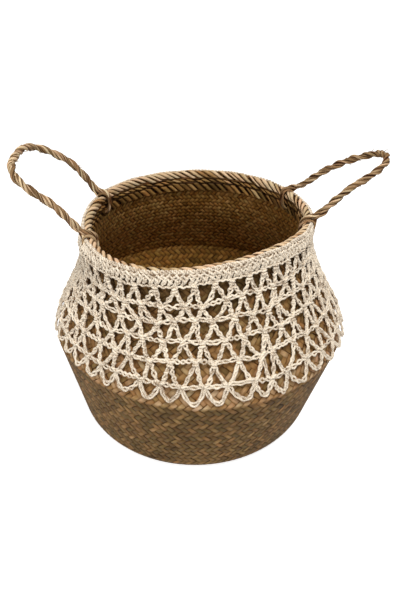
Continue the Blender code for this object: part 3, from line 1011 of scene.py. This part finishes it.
# %% Legs and posts
# Places beside a post and beside a foot are shares of a column's width
LEG_POINTS = 17
LEG_START = 0.075
LEG_TOP = 0.85
LEG_BENDS = (0.9, 1.7)
FOOT_SIDES = (0.09, 0.17)
LEG_ARCH = 0.0007
LEG_LIFT_SPREAD = 0.0002
POST_POINTS = 6
POST_SIDE = 0.085
POST_NARROW = 0.7
POST_FLARE = 0.5
POST_OVERLAP = 0.0006
POST_LIFT = 0.0004
POST_ROUND = 0.0003
leg_grids, post_grids = [], []
leg_lines = []
columns = np.arange(COLUMNS)
for line in range(ROUNDS):
    top_column, top_drop = node_place(line, columns)
    for side in (-1, 1):
        foot_index = columns + (side - 1) // 2 + line % 2
        foot_column, foot_drop = node_place(line + 1, foot_index)
        share = np.linspace(0, 1, LEG_POINTS)[None, :]
        bend = dice.uniform(*LEG_BENDS, (COLUMNS, 1))
        start_column = top_column[:, None] + side * LEG_START
        end_column = foot_column[:, None] - side * dice.uniform(*FOOT_SIDES, (COLUMNS, 1))
        column = start_column + (end_column - start_column) * share**bend
        start_drop = top_drop[:, None] + POST_HEIGHT * LEG_TOP
        drop = start_drop + (foot_drop[:, None] - start_drop) * share
        lift = COVER_LIFT + LEG_ARCH * np.sin(math.pi * share)
        lift = lift + uneven(300 + line, LEG_LIFT_SPREAD, (COLUMNS, 1))
        add_yarn(leg_grids, chain_pair(column, drop, lift))
        leg_lines.append((column, drop, lift))
    share = np.linspace(0, 1, POST_POINTS)[None, :]
    for place in (-POST_SIDE, 0.0, POST_SIDE):
        column = top_column[:, None] + place * (POST_NARROW + POST_FLARE * share)
        drop = top_drop[:, None] + (POST_HEIGHT + 2 * POST_OVERLAP) * share - POST_OVERLAP
        lift = COVER_LIFT + POST_LIFT - POST_ROUND * abs(place) / POST_SIDE + 0 * share
        add_yarn(post_grids, cover_path(column, drop, lift))
print("legs:", len(leg_lines) * COLUMNS)

# %% Wraps round the posts and knots on the chains
WRAP_POINTS = 12
WRAP_DEPTH = 0.00115
WRAP_TILT = 0.0004
WRAP_LIFT = 0.0005
# How far below the chain each wrap is, and half its width
POST_WRAPS = ((0.0019, 0.0023), (0.0048, 0.0027))
# How far beside the knot each turn is, in columns, and which way it tilts
KNOT_SIDES = ((-0.11, 1), (0.12, -1))
KNOT_WIDTH = 0.0024
KNOT_TILT = 0.0014
KNOT_LIFT = 0.0006


def wraps(column, drop, width, tilt, lift):
    """A turn of yarn round a post, wide along the rim and flat against the wall."""
    turn = np.linspace(0, TURN, WRAP_POINTS)[None, :]
    here, around, out = cover_frame(column[:, None] + 0 * turn, drop[:, None] + 0 * turn)
    down = np.cross(around, out)
    across = (width * np.cos(turn))[..., None] * around
    outwards = (lift + WRAP_DEPTH * np.sin(turn))[..., None] * out
    slope = (tilt * np.cos(turn))[..., None] * down
    return here + across + outwards + slope


for line in range(ROUNDS):
    top_column, top_drop = node_place(line, columns)
    for level, width in POST_WRAPS:
        tilt = uneven(400 + line, 0.0008, (COLUMNS, 1)) + WRAP_TILT
        drop = top_drop + level + uneven(450 + line, 0.0003, COLUMNS)
        add_yarn(post_grids, wraps(top_column, drop, width, tilt, COVER_LIFT + WRAP_LIFT))
for line in range(1, ROUNDS + 1):
    top_column, top_drop = node_place(line, columns)
    for shift, tilt_sign in KNOT_SIDES:
        tilt = tilt_sign * KNOT_TILT + uneven(500 + line, 0.0005, (COLUMNS, 1))
        drop = top_drop + uneven(550 + line, 0.0005, COLUMNS)
        knots = wraps(top_column + shift, drop, KNOT_WIDTH, tilt, COVER_LIFT + KNOT_LIFT)
        add_yarn(post_grids, knots)

# %% Wraps along the legs
LEG_WRAP_PLACES = (0.3, 0.68)
LEG_WRAP_WIDTH = 0.0019
LEG_WRAP_TILTS = (0.0004, 0.0016)
LEG_WRAP_RADIUS = 0.0008
leg_wrap_grids = []
for number, (column, drop, lift) in enumerate(leg_lines):
    for place in LEG_WRAP_PLACES:
        spot = (place * (LEG_POINTS - 1) + uneven(900 + number, 1.0, COLUMNS)).round().astype(int)
        spot = np.clip(spot, 2, LEG_POINTS - 3)
        lean = np.sign(column[:, -1] - column[:, 0])[:, None]
        tilt = lean * dice.uniform(*LEG_WRAP_TILTS, (COLUMNS, 1))
        at = (columns, spot)
        loops = wraps(column[at], drop[at], LEG_WRAP_WIDTH, tilt, lift[at][:, None])
        add_yarn(leg_wrap_grids, loops, LEG_WRAP_RADIUS, 5)

# %% Chain lines round the basket
# How many points each line has from one knot to the next
CHAIN_POINTS = (18, 18, 18, 20, 20, 20)
CHAIN_SAG = 0.0009
LINE_SPREAD = 0.00115
LINE_LIFT = 0.0002
LINE_ARCH = 0.0004
TOP_WAVE = 0.0006
TOP_WAVES = 3
TOP_RISE = 0.0003
TOP_LIFT = 0.0004
chain_grids = []
for line in range(ROUNDS + 1):
    start_column, start_drop = node_place(line, columns)
    end_column, end_drop = node_place(line, columns + 1)
    share = np.linspace(0, 1, CHAIN_POINTS[line])[None, :]
    column = between(start_column, end_column, share)
    sag = uneven(600 + line, 0.0006, (COLUMNS, 1)) + CHAIN_SAG
    drop = between(start_drop, end_drop, share) + sag * np.sin(math.pi * share)
    lift = COVER_LIFT + LINE_LIFT + LINE_ARCH * np.sin(math.pi * share)
    if line == 0:
        drop = drop + TOP_WAVE * np.sin(TURN * TOP_WAVES * share)
        add_yarn(chain_grids, cover_path(column, drop - TOP_RISE, lift + TOP_LIFT))
    else:
        add_yarn(chain_grids, chain_pair(column, drop, lift, LINE_SPREAD))

# %% Scallops
SCALLOP_POINTS = 34
SCALLOP_RADIUS = 0.00108
SCALLOP_SPREAD = 0.00105
# How far a loop's lowest place may lie from its middle, as a share of its width
SCALLOP_SWAY = 0.2
SCALLOP_UNEVEN = 0.12
SCALLOP_POWER = 1.8
SCALLOP_DEPTH = 0.93
SCALLOP_PINCH = 0.02
SCALLOP_START = 0.0008
SCALLOP_TUCK = 0.0008
scallop_grids = []
share = np.linspace(0, 1, SCALLOP_POINTS)[None, :]
start_column, start_drop = node_place(ROUNDS, columns)
end_column, end_drop = node_place(ROUNDS, columns + 1)
lowest = 0.5 + SCALLOP_SWAY * np.cos(TURN * (columns[:, None] + 1.25) / COLUMNS)
lowest = lowest + dice.uniform(-SCALLOP_UNEVEN, SCALLOP_UNEVEN, (COLUMNS, 1))
bent = np.where(share < lowest, share / lowest / 2, 1 - (1 - share) / (1 - lowest) / 2)
fall = 1 - np.abs(2 * bent - 1) ** SCALLOP_POWER
deep = SCALLOP_HEIGHT * (SCALLOP_DEPTH + uneven(700, 0.07, (COLUMNS, 1)))
pinch = -SCALLOP_PINCH * np.sin(TURN * share)
column = between(start_column, end_column, share + pinch)
drop = between(start_drop, end_drop, share) + deep * fall + SCALLOP_START
lift = COVER_LIFT - SCALLOP_TUCK * fall
add_yarn(scallop_grids, chain_pair(column, drop, lift, SCALLOP_SPREAD), SCALLOP_RADIUS)

# %% [markdown]
# ## The collar
#
# The band that ties the cover to the rim is worked tight: short slanted stitches, each a loop
# pulled over the last, with two strands twisted round each other along the top. A thin dark
# backing stands behind them, painted shade for the yarn's own back, so that no wall shows through.

# %% Collar stitches
COLUMN_STITCHES = 3
COLLAR_STITCHES = COLUMN_STITCHES * COLUMNS
COLLAR_POINTS = 10
COLLAR_FOOT = -0.0061
COLLAR_CREST = 0.0072
COLLAR_LIFT = 0.0017
CREST_LIFT = 0.0019
CREST_DROP = 0.0012
CREST_WIDTH = 0.0007
CREST_WANDER = 0.0003
CREST_TWISTS = 96
CREST_STEPS = 14 * COLUMNS
BACKING_INSETS = (0.0060, 0.0010)
# The backing's low tone is painted shade
BACKING_SHADE_TONE = -0.5
# One strand of every stitch a row: where it starts and ends along the band, counted in
# stitches, the same up the band, counted in its height, and how far it stands out
COLLAR_STRANDS = (
    (0.0, 0.75, 0.02, 0.66, 0.0012),
    (0.45, 1.15, 0.06, 0.72, 0.0011),
    (0.80, 0.10, 0.20, 0.60, 0.0017),
    (-0.5, 0.55, 0.54, 0.88, 0.0009),
    (1.2, 0.30, 0.50, 0.84, 0.0013),
    (0.2, 0.35, -0.06, 0.40, 0.0013),
)
collar_grids = []
stitch = np.arange(COLLAR_STITCHES)
share = np.linspace(0, 1, COLLAR_POINTS)[None, :]


def collar_path(theta, level, lift):
    """Points on the rim's outside. Above the lip they turn inward over its shoulder."""
    loose = np.clip((BORDER_LIP - level) / (BORDER_LIP - COLLAR_FOOT), 0, 1)
    here, facing = border_frame(theta, level)
    off = np.asarray(lift + loose * stand_off(theta, 0.0))
    return here + off[..., None] * facing


def collar_strand(from_step, to_step, low, high, bulge, seed):
    """One strand of every stitch, round the whole band."""
    start = (stitch[:, None] + from_step + uneven(seed, 0.12, (COLLAR_STITCHES, 1))) / COLUMN_STITCHES
    end = (stitch[:, None] + to_step + uneven(seed + 1, 0.12, (COLLAR_STITCHES, 1))) / COLUMN_STITCHES
    theta = TURN * (start + (end - start) * share + 0.25) / COLUMNS
    climb = low + (high - low) * share + uneven(seed + 2, 0.025, (COLLAR_STITCHES, 1))
    level = COLLAR_FOOT + (COLLAR_CREST - COLLAR_FOOT) * climb
    lift = COLLAR_LIFT + bulge * np.sin(math.pi * share) ** 0.7
    add_yarn(collar_grids, collar_path(theta, level, lift))


for number, strand in enumerate(COLLAR_STRANDS):
    collar_strand(*strand, seed=800 + 10 * number)

theta = TURN * np.linspace(0, 1, CREST_STEPS + 1)[None, :]
for phase in (0.0, math.pi):
    turn = CREST_TWISTS * theta + phase + 0.8 * np.sin(11 * theta)
    level = COLLAR_CREST - CREST_DROP + CREST_WIDTH * np.cos(turn) + CREST_WANDER * np.sin(17 * theta)
    add_yarn(collar_grids, collar_path(theta, level, CREST_LIFT + CREST_WIDTH * np.sin(turn)))

theta = TURN * np.arange(COLLAR_STITCHES + 1)[None, :, None] / COLLAR_STITCHES
lowest, highest = COLLAR_FOOT + BACKING_INSETS[0], COLLAR_CREST - BACKING_INSETS[1]
levels = np.linspace(lowest, highest, 8)[None, None, :]
backing_points = collar_path(*np.broadcast_arrays(theta, levels), CREST_LIFT)
backing = Grid(backing_points, False, backing_points, BACKING_SHADE_TONE)
collar_grids.append(backing)
collar_stitches = make_piece("collar_stitches", collar_grids, crochet_yarn)
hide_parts("crochet_collar")
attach(collar_stitches, "neck")

# %% Net pieces
net_legs = make_piece("net_legs", leg_grids, crochet_yarn)
net_posts = make_piece("net_posts", post_grids, crochet_yarn)
net_wraps = make_piece("net_wraps", leg_wrap_grids, crochet_yarn)
net_chains = make_piece("net_chains", chain_grids, crochet_yarn)
net_scallops = make_piece("net_scallops", scallop_grids, crochet_yarn)
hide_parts("crochet_net")
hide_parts("crochet_scallops")
for piece in (net_legs, net_wraps, net_posts, net_chains, net_scallops):
    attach(piece, "basket")

# %% [markdown]
# ## Folding
#
# The neck can be pushed down into the belly. Here the wall and the net above the crease each
# get a mesh of their own, and the share of its height that the wall keeps when the neck is
# folded is worked out from the fold's range.

# %% The wall and the net get meshes of their own
fold = next(joint for joint in frame["joints"] if joint["name"] == "neck_fold")
GATHER_DROP = 0.009
keep = 1 - abs(fold["range_m"][0]) / (UPPER_HEIGHT - GATHER_DROP)
for piece in (upper_plait, net_legs, net_wraps, net_posts, net_chains, net_scallops):
    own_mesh(piece)
print(f"the wall keeps {keep:.2f} of its height when folded")

# %% [markdown]
# ## The handles
#
# Each handle is a rope of two plies, and each ply is a loose bundle of twisted strips. At the
# rim the plies part: one goes down outside, under the crochet, and the other goes over the
# crown and down inside to a hole in the wall. A ply's strands open like a fan where they lie
# over the rim.

# %% The rope's line
LEFT_ROOTS = (math.radians(206), math.radians(159))
RIGHT_ROOTS = (math.radians(30), math.radians(-11))
LEFT_TILT = math.radians(46)
RIGHT_TILT = math.radians(35.6)
LEFT_LOOP = dict(reach=0.0955, skew=-0.005, bow=0.0068, swell=-0.063, taper=-0.297, roundness=2.9)
RIGHT_LOOP = dict(reach=0.1015, skew=0.0113, bow=0.0047, swell=-0.129, taper=0.03, roundness=2.12)
PLY_WINDING = 0.0018
TWIST_PITCH = 0.032
STRANDS = 6
STRAND_RADIUS = 0.00100
STRAND_WINDING = 0.00170
STRAND_PITCH = 0.030
# How far from a ply's middle painted shade between the strands ends, and over what distance it fades
DEEP_REACH = 0.0026
DEEP_FADE = 0.0006
FAN_STEP = 0.0013
FAN_FULL = 0.004
FAN_LENGTH = 0.020
ROPE_STEP = 0.0018
PLY_STEP = 0.0019
ROOT_STEP = 0.0016
ROPE_SIDES = 8
FRAYS = 16
FRAY_RADIUS = 0.00052
FRAY_ROOT = 0.0016
FRAY_LENGTHS = (0.004, 0.009)
# Turns a strand's cosine and sine into metres round it, as the seagrass finish expects
STRAND_FIBRE = np.array((1.0, 0.004, 0.004))


def hinge_frame(roots):
    """Middle, half length and directions of the line that a handle swings on."""
    first, second = crown_centre(np.array(roots))
    axis = unit(second - first)
    out = unit(np.cross(UP, axis))
    return (first + second) / 2, np.linalg.norm(second - first) / 2, axis, out, np.cross(axis, out)


# %% The loop's line
def loop_line(half, start, reach, skew, bow, swell, taper, roundness):
    """The rope's middle line, from one root to the other: along, away and above."""
    first = math.asin((start / reach) ** (roundness / 2))
    angle = np.linspace(first, math.pi - first, 400)
    along = np.abs(np.cos(angle)) ** (2 / roundness)
    rise = np.sin(angle) ** (2 / roundness)
    width = 1 + swell * np.sin(math.pi * rise) - taper * rise
    across = np.where(angle < math.pi / 2, -1, 1) * half * along * width
    line = np.stack([across + skew * rise, reach * rise, bow * np.sin(math.pi * rise) ** 2], -1)
    line = even_line(line, ROPE_STEP)
    eased = np.array([np.convolve(line[:, k], np.full(5, 0.2), "valid") for k in range(3)]).T
    return np.concatenate([line[:2], eased, line[-2:]])


def even_line(points, step):
    """The same line, with its points about one step apart."""
    lengths = distance_along(points)
    wanted = np.linspace(0, lengths[-1], math.ceil(lengths[-1] / step) + 1)
    return np.stack([np.interp(wanted, lengths, points[:, k]) for k in range(points.shape[1])], -1)


def smooth_line(points, rounds=3):
    """Cuts the corners of a line of points, again and again, to make it smooth."""
    for _ in range(rounds):
        cut = np.empty((2 * len(points) - 2, 3))
        cut[0::2] = 0.75 * points[:-1] + 0.25 * points[1:]
        cut[1::2] = 0.25 * points[:-1] + 0.75 * points[1:]
        points = np.concatenate([points[:1], cut, points[-1:]])
    return points


# %% Plies and their strands
# How each ply goes on over the rim: pairs of how far out and how far up from the hinge line
ROPE_START = 0.0125
OUTER_LEG = (
    (0.0077, 0.0068),
    (0.0062, 0.0034),
    (0.0056, -0.0012),
    (0.0050, -0.0056),
    (0.0046, -0.0095),
)
INNER_LEG = (
    (0.0056, 0.0086),
    (0.0018, 0.0079),
    (-0.0034, 0.0060),
    (-0.0062, 0.0014),
    (-0.0066, -0.0055),
    (-0.0064, -0.0125),
    (-0.0026, -0.0165),
)
OUTER_LEAN = 0.0035
INNER_LEAN = -0.0015


def handle_strands(roots, tilt, loop):
    """All the strands of a rope handle, with its plies' ends over the rim."""
    middle, half, axis, out, up = hinge_frame(roots)
    ahead = math.cos(tilt) * out + math.sin(tilt) * up
    square = np.cross(axis, ahead)
    line = loop_line(half, ROPE_START, **loop)
    forward = unit(np.gradient(line, axis=0))
    side = unit(np.stack([-forward[:, 1], forward[:, 0], 0 * forward[:, 0]], -1))
    above = np.cross(forward, side)
    length = distance_along(line)
    basis = np.stack([axis, ahead, square])
    grids = []
    for ply in (0, 1):
        turn = (TURN * length / TWIST_PITCH + math.pi * ply + 0.4)[:, None]
        slim = 1 - 0.35 * np.exp(-((8 * (length / length[-1] - 0.5)) ** 2))[:, None]
        winding = PLY_WINDING * slim * (np.cos(turn) * side + np.sin(turn) * above)
        rope = middle + (line + winding) @ basis
        ends = []
        for sign, legs in ((-1, (OUTER_LEG, INNER_LEG)), (1, (INNER_LEG, OUTER_LEG))):
            leg = legs[ply]
            spot = middle + sign * half * axis
            lean = sign * (OUTER_LEAN if leg is OUTER_LEG else INNER_LEAN)
            steps = np.linspace(0, 1, len(leg))[:, None]
            ends.append(spot + lean * steps * axis + np.array(leg) @ np.stack([out, up]))
        rough = np.concatenate([ends[0][::-1], rope[3:-3:3], ends[1]])
        grids.append(ply_strands(even_line(smooth_line(rough), PLY_STEP), axis))
    grids.append(frays(middle + line @ basis))
    return grids


# %% Loose fibres and the strands of a ply
def frays(rope):
    """Loose fibres that stick out of the rope here and there."""
    spot = dice.integers(10, len(rope) - 10, FRAYS)
    ahead = unit(rope[spot + 2] - rope[spot - 2])
    away = unit(np.cross(ahead, dice.standard_normal((FRAYS, 3))))
    share = np.linspace(0, 1, 7)[None, :, None]
    length = dice.uniform(*FRAY_LENGTHS, (FRAYS, 1, 1))
    curl = length * share * (ahead[:, None] + 0.55 * share * away[:, None])
    paths = (rope[spot] + FRAY_ROOT * away)[:, None] + curl
    grid = tube_grid(paths, FRAY_RADIUS * (1 - 0.6 * share[..., 0]), 4, 0.55)
    return grid._replace(fibre=grid.fibre * STRAND_FIBRE)


def ply_strands(path, axis):
    """The strands of one ply, wound round its line and fanned out at both ends."""
    along = distance_along(path)
    ahead = unit(np.gradient(path, axis=0))
    normal = square_to(unit(np.cross(ahead, axis) + 0.15 * UP), ahead)
    beside = np.cross(ahead, normal)
    near_end = np.minimum(along, along[-1] - along)
    fan = np.clip(1 - (near_end - FAN_FULL) / FAN_LENGTH, 0, 1)[:, None]
    strands = []
    for number in range(STRANDS):
        turn = TURN * (number / STRANDS + along / STRAND_PITCH) + 0.5 * dice.standard_normal()
        winding = STRAND_WINDING * (1 + 0.12 * np.sin(along * 260 + number * 1.7))
        away = np.cos(turn)[:, None] * normal + np.sin(turn)[:, None] * beside
        round_offset = winding[:, None] * away
        fan_offset = (number - (STRANDS - 1) / 2) * FAN_STEP * axis
        strands.append(path + round_offset * (1 - 0.75 * fan) + fan_offset * fan)
    strands = np.array([*strands, path])
    each = (STRANDS + 1, 1)
    thick = STRAND_RADIUS * (1 + 0.14 * dice.standard_normal(each))
    wobble = 1 + 0.10 * np.sin(along * 420 + dice.uniform(0, 6, each))
    tone = np.clip(0.55 + 0.3 * dice.standard_normal(each), 0, 1)
    tone = tone + 0.12 * np.sin(along * 150 + dice.uniform(0, 6, each))
    thick = thick * wobble * tapered(len(along))
    grid = tube_grid(strands, thick, ROPE_SIDES, tone[..., None])
    # Painted shade between the strands, darker nearer the ply's middle
    reach = np.linalg.norm(grid.points - path[None, :, None, :], axis=-1)
    depth = np.clip((DEEP_REACH - reach) / DEEP_FADE, 0, 1)
    return grid._replace(fibre=grid.fibre * STRAND_FIBRE, depth=depth)


# %% Ropes
BEND_START = 0.006
BEND_END = 0.022
for side, roots, tilt, loop in (
    ("left", LEFT_ROOTS, LEFT_TILT, LEFT_LOOP),
    ("right", RIGHT_ROOTS, RIGHT_TILT, RIGHT_LOOP),
):
    grids = handle_strands(roots, tilt, loop)
    rope = make_piece(f"{side}_rope", grids, handle_rope)
    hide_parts(f"{side}_handle_ply_one", f"{side}_handle_ply_two")
    middle, half, axis, out, up = hinge_frame(roots)
    ahead = math.cos(tilt) * out + math.sin(tilt) * up
    start = middle + BEND_START * ahead
    end = middle + BEND_END * ahead
    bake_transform(rope)

# %% [markdown]
# ## Root strands
#
# Three thinner strands tie each end of a handle down, two on one side of the plies and one on
# the other. They go over the rim, down inside, through the wall below the border and back up.

# %% Root strands
ROOT_BEND = CROWN_RADIUS + 0.0022
ROOT_DEPTH = 0.0165
ROOT_FAN = 0.7
ROOT_PLACES = (-0.0048, -0.0030, 0.0044)
ROOT_RADIUS = 0.0009
ROOT_POINTS = 44
over_rim = np.linspace(0, math.pi, 12)
through_wall = np.array(((-0.95, -0.4), (-0.7, -0.8), (-0.1, -0.95), (0.6, -0.7), (1.0, 0.0)))
root_path = np.concatenate(
    [
        ROOT_BEND * np.stack([np.cos(over_rim), np.sin(over_rim)], -1),
        through_wall * (ROOT_BEND, ROOT_DEPTH),
    ]
)
root_fan = 1.0 + ROOT_FAN * np.maximum(-root_path[:, 1:], 0) / ROOT_DEPTH
for side, roots, names in (
    ("left", LEFT_ROOTS, ("front", "back")),
    ("right", RIGHT_ROOTS, ("back", "front")),
):
    middle, half, axis, out, up = hinge_frame(roots)
    for sign, name in zip((-1, 1), names):
        spot = middle + sign * half * axis
        paths = []
        for place in ROOT_PLACES:
            route = spot + place * root_fan * axis + root_path @ np.stack([out, up])
            paths.append(even_line(smooth_line(route), ROOT_STEP)[:ROOT_POINTS])
        shortest = min(len(path) for path in paths)
        paths = np.array([path[:shortest] for path in paths])
        tone = np.clip(0.5 + 0.2 * dice.standard_normal((len(paths), 1, 1)), 0, 1)
        grid = tube_grid(paths, ROOT_RADIUS, ROPE_SIDES, tone)
        grid = grid._replace(fibre=grid.fibre * STRAND_FIBRE)
        root = make_piece(f"{side}_root_{name}", [grid], handle_rope)
        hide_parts(f"{side}_handle_root_{name}")
        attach(root, "neck")

# %% [markdown]
# ## Floor and light
#
# Plain studio light: a pale sky all round, one soft lamp above, in front and a little to the
# right, and a weaker one low on the left. The floor is white and shows a little whiter to the
# camera, so that only the shadow is seen.

# %% Floor
FLOOR_GLOW = 0.8
FLOOR_SIZE = 12
floor_finish = Finish("floor_white", 0.9)
floor_finish.shader.inputs["Base Color"].default_value = (0.93, 0.93, 0.93, 1)
tree = floor_finish.tree
seen = Wire.node(tree, "ShaderNodeLightPath", output="Is Camera Ray")
glow = Wire.node(tree, "ShaderNodeEmission", None, {"Color": (1, 1, 1), "Strength": FLOOR_GLOW})
plain = Wire(floor_finish.shader.outputs[0])
both = Wire.node(tree, "ShaderNodeAddShader", None, {0: plain, 1: glow})
shown = Wire.node(tree, "ShaderNodeMixShader", None, {0: seen, 1: plain, 2: both})
tree.links.new(shown.socket, tree.nodes["Material Output"].inputs["Surface"])
bpy.ops.mesh.primitive_plane_add(size=FLOOR_SIZE)
floor = bpy.context.object
floor.name = "floor"
floor.data.materials.append(floor_finish.material)

# %% World and lamps
# The sky's strength for what it lights, and how much more it shows to the camera
SKY_LIGHT = 0.35
SKY_SEEN = 0.75
world = bpy.data.worlds.new("studio")
world.use_nodes = True
bpy.context.scene.world = world
sky = world.node_tree
background = sky.nodes["Background"]
path = Wire.node(sky, "ShaderNodeLightPath", output="Is Camera Ray")
strength = path * SKY_SEEN + SKY_LIGHT
sky.links.new(strength.socket, background.inputs["Strength"])
background.inputs["Color"].default_value = (1, 1, 1, 1)


def soft_lamp(name, place, target, size, watts):
    """A square lamp at a place, turned to face its target."""
    lamp = bpy.data.lights.new(name, "AREA")
    lamp.size = size
    lamp.energy = watts
    holder = bpy.data.objects.new(name, lamp)
    holder.location = place
    holder.rotation_euler = (Vector(target) - Vector(place)).to_track_quat("-Z", "Y").to_euler()
    bpy.context.scene.collection.objects.link(holder)


soft_lamp("key lamp", (0.2, -0.45, 1.3), (0, 0, 0.15), 0.45, 12)
soft_lamp("fill lamp", (-0.95, -0.85, 0.45), (0, 0, 0.12), 0.6, 4)
bpy.context.scene.view_settings.view_transform = "Standard"
